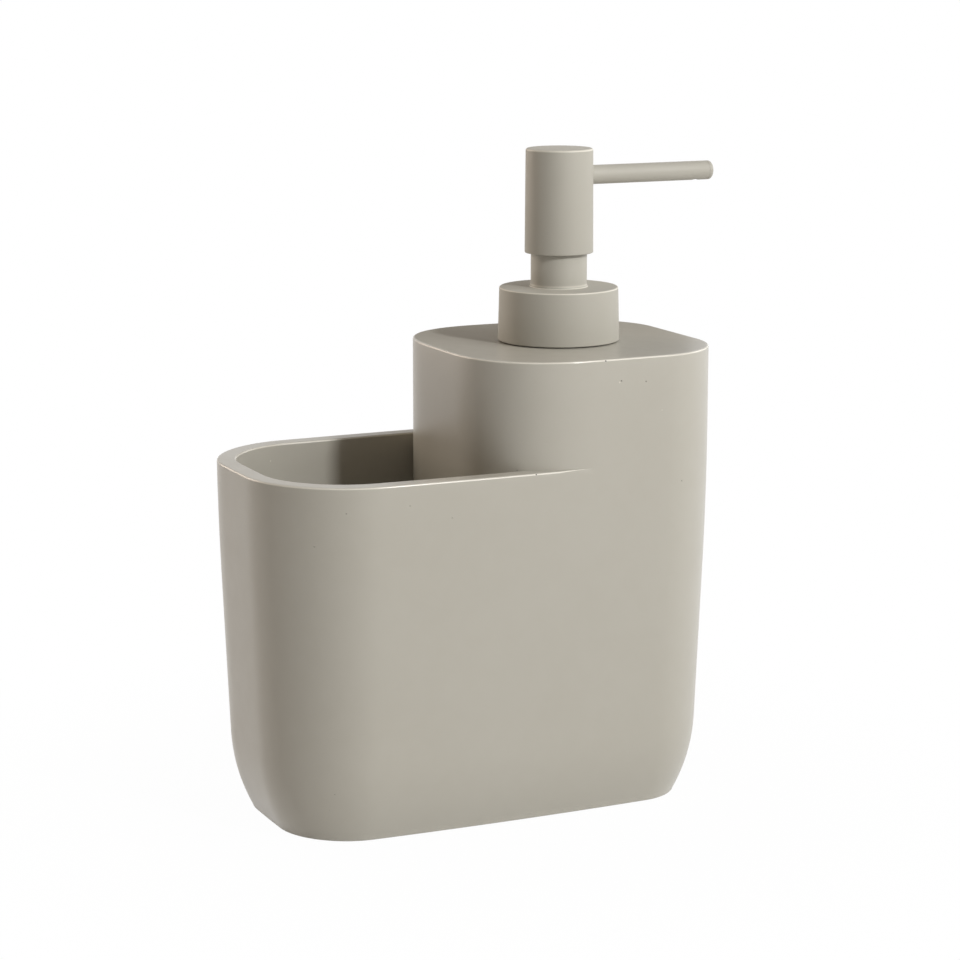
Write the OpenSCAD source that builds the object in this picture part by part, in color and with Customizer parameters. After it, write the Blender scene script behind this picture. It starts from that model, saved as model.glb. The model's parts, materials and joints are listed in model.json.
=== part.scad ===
// Soap pump caddy: one cast body with an open pocket at its low end and a soap
// reservoir in its tall end, and a lotion pump screwed into the reservoir's neck.
// Units are millimetres, +Z is up, +X runs from the pocket to the spout and -Y is
// the front. The origin is under the middle of the whole length, on the table.

/* [Cast body] */
// Length of the cast body
body_len = 136; // [120:0.5:165]
// Width of the cast body, front to back
body_w = 77.2; // [66:0.2:94]
// Height of the tall end above the body's base
tower_h = 130; // [115:0.2:155]
// Height of the pocket's rim above the body's base
rim_h = 100.2; // [84:0.2:112]
// Length of the tall end
tower_len = 75.2; // [64:0.2:90]
// Corner radius of the tall end's outer corners
end_r = 23; // [18:0.5:29]
// Corner radius of the pocket's outer corners
pocket_r = 27.5; // [21:0.5:32]
// Corner radius of the tall end where it stands in the pocket
inner_r = 24; // [19:0.5:29]
// How far the two long sides bulge
side_bulge = 1.7; // [0.4:0.1:2.5]
// How far the pocket's end bulges
pocket_bulge = 0.8; // [0.4:0.1:2.5]
// How far the wall between pocket and reservoir bulges
inner_bulge = 1.6; // [0.4:0.1:2.5]
// Thickness of the pocket's wall at the rim
wall_t = 5.4; // [3.5:0.1:7]
// Thickness of the reservoir's side walls
tank_wall = 5.5; // [4:0.1:7]
// Thickness of the roof over the reservoir
roof_t = 6.5; // [5:0.1:9]
// Thickness of the floor under pocket and reservoir
floor_t = 9; // [7:0.5:12]
// Radius between the floor and the walls inside
floor_r = 9; // [5:0.5:12]

/* [Body draft] */
// Depth below the rim where the sides are upright no more
draft_drop = -6.8; // [-14:0.2:8]
// Height over which the draft sets in
draft_blend = 40; // [30:1:50]
// Draft of the lower sides, in degrees
draft_a = 2.3; // [1.6:0.02:3.2]
// Radius of the curve that turns the sides in to the base
base_r = 49.6; // [42:0.1:58]
// Height of that curve
base_arc_h = 22.1; // [18:0.1:26]

/* [Non-slip pad] */
// Thickness of the pad under the base
pad_t = 1.8; // [1.5:0.1:2.4]
// How far the pad stands below the base
pad_proud = 0.5; // [0.4:0.05:0.7]
// Distance from the base's edge to the pad
pad_in = 4; // [3:0.5:6]

/* [Neck and collar] */
// Distance from the tall end's outer end to the pump's axis
pump_back = 37.6; // [34:0.1:44]
// Diameter of the collar at its foot
collar_d = 34.5; // [31:0.1:40]
// Taper of the collar's diameter over its height
collar_draft = 0.8; // [0.4:0.1:1.2]
// Height of the collar
collar_h = 15.1; // [13.5:0.1:18]
// Gap under the collar
collar_gap = 0.3; // [0.25:0.05:0.5]
// Thickness of the collar cover's top
cover_t = 0.9; // [0.7:0.1:1.1]
// Height of the bead round the sleeve on the collar's top
lip_h = 0.6; // [0.4:0.1:0.8]
// Lead of the neck's screw thread
thread_lead = 4.23; // [3.6:0.01:4.9]
// Height of the thread's ridges
thread_h = 1; // [0.8:0.05:1.2]
// Thickness of the neck's wall
neck_wall = 1.85; // [1.5:0.05:2.2]

/* [Pump] */
// How far the head goes down
stroke = 8.5; // [7:0.1:10]
// Diameter of the fixed sleeve under the head
sleeve_d = 15.9; // [14:0.1:17]
// Thickness of the sleeve
sleeve_t = 0.8; // [0.7:0.05:0.9]
// Bore of the pump's chamber
chamber_d = 11; // [9.5:0.1:12.5]
// Wall of the pump's chamber
chamber_wall = 1.1; // [0.9:0.05:1.3]
// Diameter of the stem
stem_d = 6; // [5.4:0.1:7]
// Height of the piston
piston_h = 7; // [6:0.1:8]
// Diameter of the ball in the chamber's inlet
inlet_ball_d = 4; // [3.4:0.1:4.7]
// Diameter of the ball on top of the stem
outlet_ball_d = 3.2; // [2.8:0.1:3.6]
// How far each ball lifts
ball_lift = 1; // [0.8:0.1:1.2]
// Diameter of the return spring's wire
wire_d = 0.9; // [0.75:0.05:1.05]
// Turns of the return spring
spring_turns = 7; // [6:1:8]
// Outer diameter of the dip tube
tube_d = 5.2; // [4.4:0.1:6]
// Wall of the dip tube
tube_wall = 0.7; // [0.6:0.05:0.8]
// Height of the dip tube's end above the reservoir's floor
tube_end_gap = 3; // [2:0.5:4]

/* [Head and spout] */
// Diameter of the head at its lower edge
head_d = 19.4; // [18.6:0.1:22]
// Taper of the head's diameter over its height
head_draft = 0.4; // [0.2:0.1:0.6]
// Height of the head
head_h = 29.7; // [27:0.1:35]
// Thickness of the head's shell
shell_t = 0.9; // [0.7:0.05:1]
// Depth of the spout's axis below the head's top
spout_drop = 8.2; // [7:0.1:9.5]
// Diameter of the spout
spout_d = 5.4; // [4.6:0.1:6.2]
// Wall of the spout
spout_wall = 0.9; // [0.75:0.05:1.05]
// Reach of the spout from the pump's axis
spout_reach = 48.4; // [41:0.2:58]
// Diameter of the outlet in the spout's underside
outlet_d = 2.4; // [2:0.1:2.8]
// Distance from the spout's end to the outlet
outlet_in = 5.2; // [4.4:0.1:6.2]

/* [Hidden] */
$fn = 96;

// Fits. The glued and pressed pieces keep seat_gap, moving pairs keep run_gap and
// pieces that only pass each other keep free_gap.
seat_gap = 0.05;
run_gap = 0.07;
free_gap = 0.3;
ball_gap = 0.03;
// One overrun serves every cut that has to leave the solid that it cuts.
over = 1;

// Places along the length. The body and the spout share the overall length.
span = body_len - pump_back + spout_reach;
body_l = -span / 2;
body_e = body_l + body_len;
tower_l = body_e - tower_len;
pump_x = body_e - pump_back;

// Heights of the cast body.
base_z = pad_proud;
rim_z = base_z + rim_h;
top_z = base_z + tower_h;
floor_z = base_z + floor_t;
roof_z = top_z - roof_t;
draft_z = rim_z - draft_drop;

// Points on a corner's arc, on a long side and on an end of the plan.
corner_n = 8;
side_n = 6;
end_n = 4;
// Least corner radius of any plan.
corner_min = 2;
// Heights of the drafted sides' rings, as shares from the base curve to the rim.
draft_shares = [0, 0.2, 0.4, 0.6, 0.8];
// Steps round the base curve and round the floor's fillets.
base_n = 6;
fillet_n = 4;

// Neck, from the outside in: cover, nut, thread, neck. Up: neck, gasket, flange, web.
collar_top_r = (collar_d - collar_draft) / 2;
cover_side = cover_t;
nut_r = collar_top_r - cover_side - seat_gap;
nut_wall = neck_wall;
nut_in_r = nut_r - nut_wall;
thread_clear = 0.4;
neck_r = nut_in_r - thread_clear - thread_h;
neck_bore_r = neck_r - neck_wall;
barrel_r = neck_r + neck_wall;
rim_t = 1.6;
insert_flange_r = barrel_r + rim_t;
barrel_len = 2 * roof_t;
collar_z = top_z + collar_gap;
collar_top = collar_z + collar_h;
nut_up = 0.6;
nut_z = collar_z + nut_up;
nut_top = collar_top - cover_t - seat_gap;
web_t = 1.5;
web_z = nut_top - web_t;
flange_t = 1.4;
gasket_t = 1.2;
flange_top = web_z - 2 * seat_gap;
flange_z = flange_top - flange_t;
gasket_z = flange_z - seat_gap - gasket_t;
neck_top = gasket_z - seat_gap;
flange_r = neck_r - free_gap;

// Thread: each ridge is thread_root wide at its root and thread_crest at its crest.
thread_root = 2 * thread_h;
thread_crest = thread_h;
thread_turns = 1.25;
thread_seg = 24;
thread_bury = thread_h / 3;
flank_gap = thread_clear / 2;
// The nut's ridge hangs under the neck's ridge and starts a quarter turn later.
nut_thread_lag = (thread_root + thread_crest) / 2 + flank_gap;
nut_thread_turn = 90;
neck_thread_z = nut_z + nut_thread_lag + thread_crest / 2;

// Sleeve, retainer and chamber.
sleeve_r = sleeve_d / 2;
sleeve_in_r = sleeve_r - sleeve_t;
web_hole_r = sleeve_r + 2 * thread_h;
sleeve_foot_r = web_hole_r - free_gap;
sleeve_foot_t = flange_t;
sleeve_in_head = 3;
stem_r = stem_d / 2;
chamber_r = chamber_d / 2;
chamber_out_r = chamber_r + chamber_wall;
mouth_r = chamber_out_r;
mouth_out_r = mouth_r + chamber_wall;
mouth_len = 7;
skirt_len = mouth_len - over;
retainer_rise = 7.5;
retainer_top = flange_top + retainer_rise;
piston_top = flange_top - mouth_len - free_gap;
piston_z = piston_top - piston_h;
foot_t = 1;
stem_foot_z = piston_z - foot_t;
stem_foot_r = stem_r + foot_t;
spring_r = chamber_r - 2 * wire_d;
spring_slack = 6;
spring_low = (spring_turns + 1) * wire_d + spring_slack;
spring_z = stem_foot_z - free_gap - stroke - spring_low;
inlet_ball_r = inlet_ball_d / 2;
cage_roof = 1.2;
cage_h = inlet_ball_d + ball_lift + cage_roof;
cage_z = spring_z - seat_gap - cage_h;
seat_h = 3;
chamber_z = cage_z - seat_gap - seat_h;

// Cone seats of the two balls: throat, mouth and height follow the ball.
seat_throat_share = 0.62;
seat_mouth_share = 1.3;
seat_depth_share = 1;
tail_len = 8;
tube_r = tube_d / 2;
tail_z = chamber_z - tail_len;
tail_r = tube_r + chamber_wall;
tube_top = chamber_z - seat_gap;
tube_z = floor_z + tube_end_gap;
vent_d = 1.2;

// Head. The stroke sets the gap under it and the room inside it.
stop_gap = 0.55;
head_z = collar_top + lip_h + stop_gap + stroke;
head_top = head_z + head_h;
head_r = head_d / 2;
head_top_r = head_r - head_draft / 2;
head_in_r = head_top_r - shell_t;
head_edge = 0.8;
head_dome = 0.35;
sleeve_top = head_z + sleeve_in_head;
core_r = head_in_r - seat_gap;
core_z = sleeve_top + stroke + stop_gap;
core_top = head_top - shell_t - seat_gap;
hub_z = retainer_top + stroke + stop_gap;
hub_r = sleeve_in_r - 5 * free_gap;
spout_z = head_top - spout_drop;
spout_r = spout_d / 2;
spout_in_r = spout_r - spout_wall;
spout_in_x = 1.3 * spout_r;
outlet_ball_r = outlet_ball_d / 2;
ball_room_r = outlet_ball_r + free_gap;
ball_room_h = 2 * outlet_ball_r + ball_lift;
stem_top = spout_z - spout_r - foot_t - ball_room_h;
stem_bore_r = 0.6 * stem_r;
plug_t = 1.4;
plug_edge = 0.9;
plug_shank = 1.5 * plug_t;

// Finishes, as seen in daylight.
cast_c = [0.71, 0.69, 0.64];
pump_c = [0.66, 0.64, 0.59];
natural_c = [0.9, 0.91, 0.9];
rubber_c = [0.2, 0.2, 0.21];
steel_c = [0.72, 0.73, 0.75];

// Height of a ball's centre above the throat of a cone seat, plus its clearance.
function seat_slope() = (seat_mouth_share - seat_throat_share) / seat_depth_share;
function ball_up(r) =
    (r / cos(atan(seat_slope())) - seat_throat_share * r) / seat_slope() + ball_gap;

// How far the body's side stands in from the rim's outline at height z.
function draft_in(z) =
    let (d = draft_z - z, h = draft_blend / 2)
    d <= 0 ? 0 :
    d < 2 * h ? tan(draft_a) * d * d / (4 * h) : tan(draft_a) * (d - h);
function base_in(z) =
    let (e = base_z + base_arc_h - z)
    e <= 0 ? 0 : base_r - sqrt(base_r * base_r - e * e);
function side_in(z) = draft_in(z) + base_in(z);

// A straight run of points from a to b without its two ends.
function between(a, b, n) = [for (i = [1:n - 1]) a + (b - a) * i / n];
// A quarter arc round c, from angle a, anticlockwise.
function quarter(c, r, a) =
    [for (i = [0:corner_n]) c + r * [cos(a + 90 * i / corner_n), sin(a + 90 * i / corner_n)]];

// Plan outline, anticlockwise: x from xl to xr, half-width b, corner radius rr at xr
// and rl at xl. The long sides bulge by side, and the end at xl by tip.
function plan_box(xl, xr, b, rl, rr) = concat(
    quarter([xr - rr, b - rr], rr, 0),
    between([xr - rr, b], [xl + rl, b], side_n),
    quarter([xl + rl, b - rl], rl, 90),
    between([xl, b - rl], [xl, rl - b], end_n),
    quarter([xl + rl, rl - b], rl, 180),
    between([xl + rl, -b], [xr - rr, -b], side_n),
    quarter([xr - rr, rr - b], rr, 270),
    between([xr, rr - b], [xr, b - rr], end_n));
function plan(xl, xr, b, rl, rr, side, tip) =
    let (m = (xl + xr) / 2, h = (xr - xl) / 2, c = b - side)
    [for (p = plan_box(xl + tip, xr, c, rl, rr))
        let (u = (p.x - m) / h, v = p.y / c)
        [p.x - tip * max(0, -u) * (1 - v * v), p.y * (1 + side / c * (1 - u * u))]];

// The body's plan, set in by d.
function body_plan(d) = plan(body_l + d, body_e - d, body_w / 2 - d,
    max(corner_min, pocket_r - d), max(corner_min, end_r - d),
    side_bulge, pocket_bulge);
// The tall end's plan, set in by d, as the reservoir follows it.
function tank_plan(d) = plan(tower_l + d, body_e - d, body_w / 2 - d,
    max(corner_min, inner_r - d), max(corner_min, end_r - d),
    side_bulge, inner_bulge);

// A closed solid through rings of [height, outline], bottom first. Its two ends fan
// out from the middle of a corner, because a straight side can't fan from its own end.
module loft(rings) {
    n = len(rings[0][1]);
    m = len(rings);
    s = corner_n / 2;
    top = (m - 1) * n;
    points = [for (ring = rings) for (p = ring[1]) [p.x, p.y, ring[0]]];
    bottom = [for (i = [1:n - 2]) [s, (s + i) % n, (s + i + 1) % n]];
    roof = [for (i = [1:n - 2]) [top + s, top + (s + i + 1) % n, top + (s + i) % n]];
    sides = [for (k = [0:m - 2]) for (i = [0:n - 1])
        let (a = k * n + i, b = k * n + (i + 1) % n)
        each [[a, a + n, b], [b, a + n, b + n]]];
    polyhedron(points = points, faces = concat(bottom, roof, sides));
}

// Ring heights of the outside: round the base curve, up the draft, then the top.
function base_rings() = [for (i = [0:base_n - 1])
    base_z + base_arc_h * (1 - sin(90 * (base_n - i) / base_n))];
function draft_rings() = [for (s = draft_shares)
    base_z + base_arc_h + s * (draft_z - base_z - base_arc_h)];
// Ring heights of an inner fillet that stands on height z.
function fillet_rings(z) = [for (i = [0:fillet_n - 1]) z + floor_r * (1 - cos(90 * i / fillet_n))];
function fillet_in(z, from) =
    let (e = from + floor_r - z)
    e <= 0 ? 0 : floor_r - sqrt(max(0, floor_r * floor_r - e * e));

module outside() {
    loft([for (z = concat(base_rings(), draft_rings(), [draft_z, top_z])) [z, body_plan(side_in(z))]]);
}

// Everything over the rim and inside the pocket, but for the tall end's own plan.
module pocket_cut() {
    inner = concat(fillet_rings(floor_z), [for (s = draft_shares)
        floor_z + floor_r + s * (rim_z - floor_z - floor_r)], [rim_z + over]);
    difference() {
        union() {
            loft([for (z = inner) [z, body_plan(wall_t + side_in(z) + fillet_in(z, floor_z))]]);
            translate([body_l - over, -body_w / 2 - over, rim_z])
                cube([body_len + 2 * over, body_w + 2 * over, tower_h]);
        }
        translate([0, 0, base_z])
            linear_extrude(2 * tower_h)
                polygon(plan(tower_l, body_e + end_r, body_w / 2 + seat_gap,
                    inner_r, end_r, 0, inner_bulge));
    }
}

// The reservoir keeps its wall from the drafted outside and has rounded ends.
module tank_cut() {
    low = fillet_rings(floor_z);
    mid = [for (s = draft_shares) floor_z + floor_r + s * (roof_z - 2 * floor_r - floor_z)];
    loft(concat(
        [for (z = low) [z, tank_plan(tank_wall + side_in(z) + fillet_in(z, floor_z))]],
        [for (z = mid) [z, tank_plan(tank_wall + side_in(z))]],
        [for (i = [0:fillet_n]) let (a = 90 * i / fillet_n * 0.999)
            [roof_z - floor_r + floor_r * sin(a), tank_plan(tank_wall + floor_r * (1 - cos(a)))]]));
}

module pad_shape(d) {
    polygon(body_plan(side_in(base_z) + pad_in + d));
}

module caddy_body() {
    color(cast_c)
        difference() {
            outside();
            pocket_cut();
            tank_cut();
            translate([pump_x, 0, roof_z - over])
                cylinder(r = barrel_r + seat_gap, h = roof_t + 2 * over);
            translate([pump_x, 0, top_z - rim_t - seat_gap])
                cylinder(r = insert_flange_r + seat_gap, h = rim_t + seat_gap + over);
            translate([0, 0, base_z - over])
                linear_extrude(pad_t - pad_proud + seat_gap + over)
                    pad_shape(-seat_gap);
        }
}

module base_pad() {
    color(rubber_c)
        linear_extrude(pad_t)
            pad_shape(0);
}

// A ridge along a helix that starts at height z and angle a. The section runs from
// the buried root to the crest, so a crest inside the root makes an inner thread.
module thread_ridge(root, crest, z, a) {
    out = crest > root;
    buried = out ? root - thread_bury : root + thread_bury;
    section = [[buried, -thread_root / 2], [crest, -thread_crest / 2],
        [crest, thread_crest / 2], [buried, thread_root / 2]];
    n = len(section);
    steps = round(thread_turns * thread_seg);
    points = [for (k = [0:steps]) let (t = a + 360 * k / thread_seg) for (p = section)
        [p[0] * cos(t), p[0] * sin(t), z + thread_lead * k / thread_seg + p[1]]];
    sides = [for (k = [0:steps - 1]) for (i = [0:n - 1])
        let (b = k * n + i, c = k * n + (i + 1) % n)
        each [[b, c, b + n], [c, c + n, b + n]]];
    first = [[0, 2, 1], [0, 3, 2]];
    last = [for (f = first) [steps * n + f[0], steps * n + f[2], steps * n + f[1]]];
    all = concat(sides, first, last);
    polyhedron(points = points, faces = out ? all : [for (f = all) [f[0], f[2], f[1]]]);
}

// Screwed and glued into the roof: a barrel, a flush flange and the threaded neck.
module neck_insert() {
    color(natural_c)
        translate([pump_x, 0, 0])
            difference() {
                union() {
                    translate([0, 0, top_z - barrel_len])
                        cylinder(r = barrel_r, h = barrel_len - rim_t / 2);
                    translate([0, 0, top_z - rim_t])
                        cylinder(r = insert_flange_r, h = rim_t);
                    translate([0, 0, top_z - rim_t])
                        cylinder(r = neck_r, h = neck_top - top_z + rim_t);
                    thread_ridge(neck_r, neck_r + thread_h, neck_thread_z, 0);
                }
                translate([0, 0, top_z - barrel_len - over])
                    cylinder(r = neck_bore_r, h = neck_top - top_z + barrel_len + 2 * over);
            }
}

// The visible collar: a drawn cover over the nut, with a bead round the sleeve.
module collar_cover() {
    hole = sleeve_r + run_gap;
    edge = cover_t;
    arc = [for (i = [0:corner_n]) let (a = 90 * i / corner_n)
        [collar_top_r - edge + edge * cos(a), collar_top - edge + edge * sin(a)]];
    bead = [for (i = [0:corner_n]) let (a = 180 * i / corner_n)
        [hole + cover_t / 2 + cover_t / 2 * cos(a), collar_top + lip_h * sin(a)]];
    color(pump_c)
        translate([pump_x, 0, 0])
            rotate_extrude()
                polygon(concat(
                    [[nut_r + seat_gap, collar_z], [collar_d / 2, collar_z]],
                    arc, bead,
                    [[hole, collar_top - cover_t], [nut_r + seat_gap, collar_top - cover_t]]));
}

// The threaded nut inside the cover. Its web clamps the chamber's flange.
module closure_nut() {
    color(natural_c)
        translate([pump_x, 0, 0])
            union() {
                difference() {
                    translate([0, 0, nut_z])
                        cylinder(r = nut_r, h = nut_top - nut_z);
                    translate([0, 0, nut_z - over])
                        cylinder(r = nut_in_r, h = web_z - nut_z + over);
                    translate([0, 0, nut_z])
                        cylinder(r = web_hole_r, h = nut_top - nut_z + over);
                }
                thread_ridge(nut_in_r, nut_in_r - thread_h,
                    neck_thread_z - nut_thread_lag + thread_lead * nut_thread_turn / 360,
                    nut_thread_turn);
            }
}

module neck_gasket() {
    color(rubber_c)
        translate([pump_x, 0, gasket_z])
            difference() {
                cylinder(r = flange_r, h = gasket_t);
                translate([0, 0, -over])
                    cylinder(r = mouth_out_r + seat_gap, h = gasket_t + 2 * over);
            }
}

// Chamber: flange, wide mouth, bore, cone seat of the inlet ball and tube socket.
module pump_chamber() {
    throat = seat_throat_share * inlet_ball_r;
    cone_h = seat_depth_share * inlet_ball_r;
    color(natural_c)
        translate([pump_x, 0, 0])
            difference() {
                union() {
                    translate([0, 0, flange_z])
                        cylinder(r = flange_r, h = flange_t);
                    translate([0, 0, flange_top - mouth_len - chamber_wall])
                        cylinder(r = mouth_out_r, h = mouth_len + chamber_wall - flange_t / 2);
                    translate([0, 0, chamber_z])
                        cylinder(r = chamber_out_r, h = flange_top - mouth_len - chamber_z);
                    translate([0, 0, tail_z])
                        cylinder(r = tail_r, h = tail_len + over);
                }
                translate([0, 0, flange_top - mouth_len])
                    cylinder(r = mouth_r, h = mouth_len + over);
                translate([0, 0, chamber_z + seat_h])
                    cylinder(r = chamber_r, h = flange_top - chamber_z);
                translate([0, 0, chamber_z + seat_h - cone_h])
                    cylinder(r1 = throat, r2 = seat_mouth_share * inlet_ball_r, h = cone_h);
                translate([0, 0, chamber_z - over])
                    cylinder(r = throat, h = seat_h + over);
                translate([0, 0, tail_z - over])
                    cylinder(r = tube_r + seat_gap, h = tail_len + over);
                translate([0, 0, flange_top - mouth_len + over])
                    rotate([90, 0, 0])
                        cylinder(d = vent_d, h = mouth_out_r + over);
            }
}

// Snapped into the chamber's mouth: it guides the stem and carries the sleeve.
module pump_retainer() {
    color(natural_c)
        translate([pump_x, 0, 0])
            difference() {
                union() {
                    translate([0, 0, flange_top - skirt_len])
                        cylinder(r = mouth_r - seat_gap, h = skirt_len + over);
                    translate([0, 0, flange_top + seat_gap])
                        cylinder(r = sleeve_in_r - seat_gap, h = retainer_rise - seat_gap);
                }
                translate([0, 0, flange_top - skirt_len - over])
                    cylinder(r = stem_r + run_gap, h = skirt_len + retainer_rise + 2 * over);
            }
}

// The fixed sleeve that shows under the head. Its foot is held under the cover.
module neck_sleeve() {
    color(pump_c)
        translate([pump_x, 0, 0])
            difference() {
                union() {
                    translate([0, 0, flange_top + seat_gap])
                        cylinder(r = sleeve_foot_r, h = sleeve_foot_t);
                    translate([0, 0, flange_top + seat_gap])
                        cylinder(r = sleeve_r, h = sleeve_top - flange_top - seat_gap);
                }
                translate([0, 0, flange_top])
                    cylinder(r = sleeve_in_r, h = sleeve_top - flange_top + over);
            }
}

// Keeps the inlet ball on its seat's axis and seats the return spring.
module ball_cage() {
    slots = 4;
    slot_w = 1.2 * wire_d;
    color(natural_c)
        translate([pump_x, 0, cage_z])
            difference() {
                cylinder(r = chamber_r - seat_gap, h = cage_h);
                translate([0, 0, -over])
                    cylinder(r = inlet_ball_r + free_gap, h = cage_h - cage_roof + over);
                translate([0, 0, -over])
                    cylinder(r = inlet_ball_r / 2, h = cage_h + 2 * over);
                for (i = [0:slots - 1])
                    rotate([0, 0, 360 * i / slots])
                        translate([0, -slot_w / 2, cage_roof])
                            cube([inlet_ball_r + 2 * free_gap, slot_w, cage_h]);
            }
}

module inlet_ball() {
    z = chamber_z + seat_h - seat_depth_share * inlet_ball_r + ball_up(inlet_ball_r);
    color(steel_c)
        translate([pump_x, 0, z])
            sphere(r = inlet_ball_r);
}

// The tube's end is cut at a slant so that it can't seal itself on the floor.
module dip_tube() {
    slant = 30;
    color(natural_c)
        translate([pump_x, 0, 0])
            difference() {
                translate([0, 0, tube_z])
                    cylinder(r = tube_r, h = tube_top - tube_z);
                translate([0, 0, tube_z - over])
                    cylinder(r = tube_r - tube_wall, h = tube_top - tube_z + 2 * over);
                translate([-tube_r, -tube_d, tube_z])
                    rotate([0, slant, 0])
                        translate([-tube_d, 0, -2 * tube_d])
                            cube([4 * tube_d, 2 * tube_d, 2 * tube_d]);
            }
}

// One unbroken wire of six-sided section with a closed end turn at each end.
module return_spring() {
    seg = 12;
    ring = 6;
    steps = (spring_turns + 2) * seg;
    wire_r = wire_d / 2;
    rise = stem_foot_z - free_gap - spring_z - wire_d * 3.1;
    function wire_z(k) =
        let (t = k / seg)
        wire_r + wire_d * 1.05 * min(t, 1) + rise * max(0, min(1, (t - 1) / spring_turns))
            + wire_d * 1.05 * max(0, t - 1 - spring_turns);
    points = [for (k = [0:steps]) let (a = 360 * k / seg) for (i = [0:ring - 1])
        let (b = 360 * i / ring, r = spring_r + wire_r * cos(b))
        [r * cos(a), r * sin(a), wire_z(k) + wire_r * sin(b)]];
    sides = [for (k = [0:steps - 1]) for (i = [0:ring - 1])
        let (p = k * ring + i, q = k * ring + (i + 1) % ring)
        each [[p, q, p + ring], [q, q + ring, p + ring]]];
    first = [for (i = [1:ring - 2]) [0, i + 1, i]];
    last = [for (i = [1:ring - 2]) [steps * ring, steps * ring + i, steps * ring + i + 1]];
    color(steel_c)
        translate([pump_x, 0, spring_z])
            polyhedron(points = points, faces = concat(sides, first, last));
}

// Two lips grip the chamber's wall, with a waist between them.
module piston() {
    lip = piston_h / 4;
    r = chamber_r - run_gap;
    color(rubber_c)
        translate([pump_x, 0, piston_z])
            difference() {
                union() {
                    cylinder(r = r, h = lip);
                    cylinder(r = r - chamber_wall, h = piston_h);
                    translate([0, 0, piston_h - lip])
                        cylinder(r = r, h = lip);
                }
                translate([0, 0, -over])
                    cylinder(r = stem_r + run_gap, h = piston_h + 2 * over);
            }
}

// Hollow stem with a foot under the piston and the outlet ball's seat on top.
module stem() {
    throat = seat_throat_share * outlet_ball_r;
    cone_h = seat_depth_share * outlet_ball_r;
    color(natural_c)
        translate([pump_x, 0, 0])
            difference() {
                union() {
                    translate([0, 0, stem_foot_z])
                        cylinder(r = stem_r, h = stem_top - stem_foot_z);
                    translate([0, 0, stem_foot_z])
                        cylinder(r = stem_foot_r, h = foot_t - seat_gap);
                }
                translate([0, 0, stem_foot_z - over])
                    cylinder(r = stem_bore_r, h = stem_top - stem_foot_z - cone_h);
                translate([0, 0, stem_top - cone_h - over - over])
                    cylinder(r = throat, h = cone_h + over);
                translate([0, 0, stem_top - cone_h])
                    cylinder(r1 = throat, r2 = seat_mouth_share * outlet_ball_r, h = cone_h);
            }
}

module outlet_ball() {
    color(steel_c)
        translate([pump_x, 0, stem_top - seat_depth_share * outlet_ball_r + ball_up(outlet_ball_r)])
            sphere(r = outlet_ball_r);
}

// The head's moulded core: a hub for the stem, the outlet ball's room and the ways out.
module head_core() {
    color(natural_c)
        translate([pump_x, 0, 0])
            difference() {
                union() {
                    translate([0, 0, hub_z])
                        cylinder(r = hub_r, h = core_z - hub_z + over);
                    translate([0, 0, core_z])
                        cylinder(r = core_r, h = core_top - core_z);
                }
                translate([0, 0, hub_z - over])
                    cylinder(r = stem_r + seat_gap, h = stem_top + seat_gap - hub_z + over);
                translate([0, 0, stem_top])
                    cylinder(r = ball_room_r, h = ball_room_h);
                translate([0, 0, stem_top])
                    cylinder(r = ball_room_r / 2, h = spout_z - stem_top);
                translate([0, 0, spout_z])
                    rotate([0, 90, 0])
                        cylinder(r = spout_in_r, h = core_r);
                translate([spout_in_x, 0, spout_z])
                    rotate([0, 90, 0])
                        cylinder(r = spout_r + seat_gap, h = core_r);
            }
}

// The visible head: a drawn cup, open below, with a low dome and a hole for the spout.
module head_shell() {
    arc = [for (i = [0:corner_n]) let (a = 90 * i / corner_n)
        [head_top_r - head_edge + head_edge * cos(a),
            head_top - head_dome - head_edge + head_edge * sin(a)]];
    dome = [for (i = [1:corner_n]) let (u = 1 - i / corner_n)
        [u * (head_top_r - head_edge), head_top - head_dome * u * u]];
    color(pump_c)
        translate([pump_x, 0, 0])
            difference() {
                rotate_extrude()
                    polygon(concat([[0, head_top - shell_t], [head_in_r, head_top - shell_t],
                        [head_in_r, head_z], [head_r, head_z]], arc, dome));
                translate([0, 0, spout_z])
                    rotate([0, 90, 0])
                        cylinder(r = spout_r + seat_gap, h = head_r + over);
            }
}

module spout_tube() {
    end = spout_reach - plug_t - seat_gap;
    color(pump_c)
        translate([pump_x, 0, spout_z])
            difference() {
                translate([spout_in_x + seat_gap, 0, 0])
                    rotate([0, 90, 0])
                        cylinder(r = spout_r, h = end - spout_in_x - seat_gap);
                rotate([0, 90, 0])
                    cylinder(r = spout_in_r, h = spout_reach);
                translate([spout_reach - outlet_in, 0, -spout_d])
                    cylinder(d = outlet_d, h = spout_d);
            }
}

// Closes the spout's end: a rounded disc on a shank.
module spout_plug() {
    arc = [for (i = [0:corner_n]) let (a = 90 * i / corner_n)
        [spout_r - plug_edge + plug_edge * cos(a), plug_t - plug_edge + plug_edge * sin(a)]];
    color(pump_c)
        translate([pump_x + spout_reach - plug_t, 0, spout_z])
            rotate([0, 90, 0])
                rotate_extrude()
                    polygon(concat([[0, -plug_shank], [spout_in_r - seat_gap, -plug_shank],
                        [spout_in_r - seat_gap, 0], [spout_r, 0]], arc, [[0, plug_t]]));
}

caddy_body();
base_pad();
neck_insert();
collar_cover();
closure_nut();
neck_gasket();
pump_chamber();
pump_retainer();
neck_sleeve();
ball_cage();
inlet_ball();
dip_tube();
return_spring();
piston();
stem();
outlet_ball();
head_core();
head_shell();
spout_tube();
spout_plug();
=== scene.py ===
import json
import math
from collections import namedtuple

import bmesh
import bpy
from bpy.props import (
    FloatProperty,
    FloatVectorProperty,
    IntProperty,
    PointerProperty,
)
from mathutils import Matrix, Vector


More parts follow.
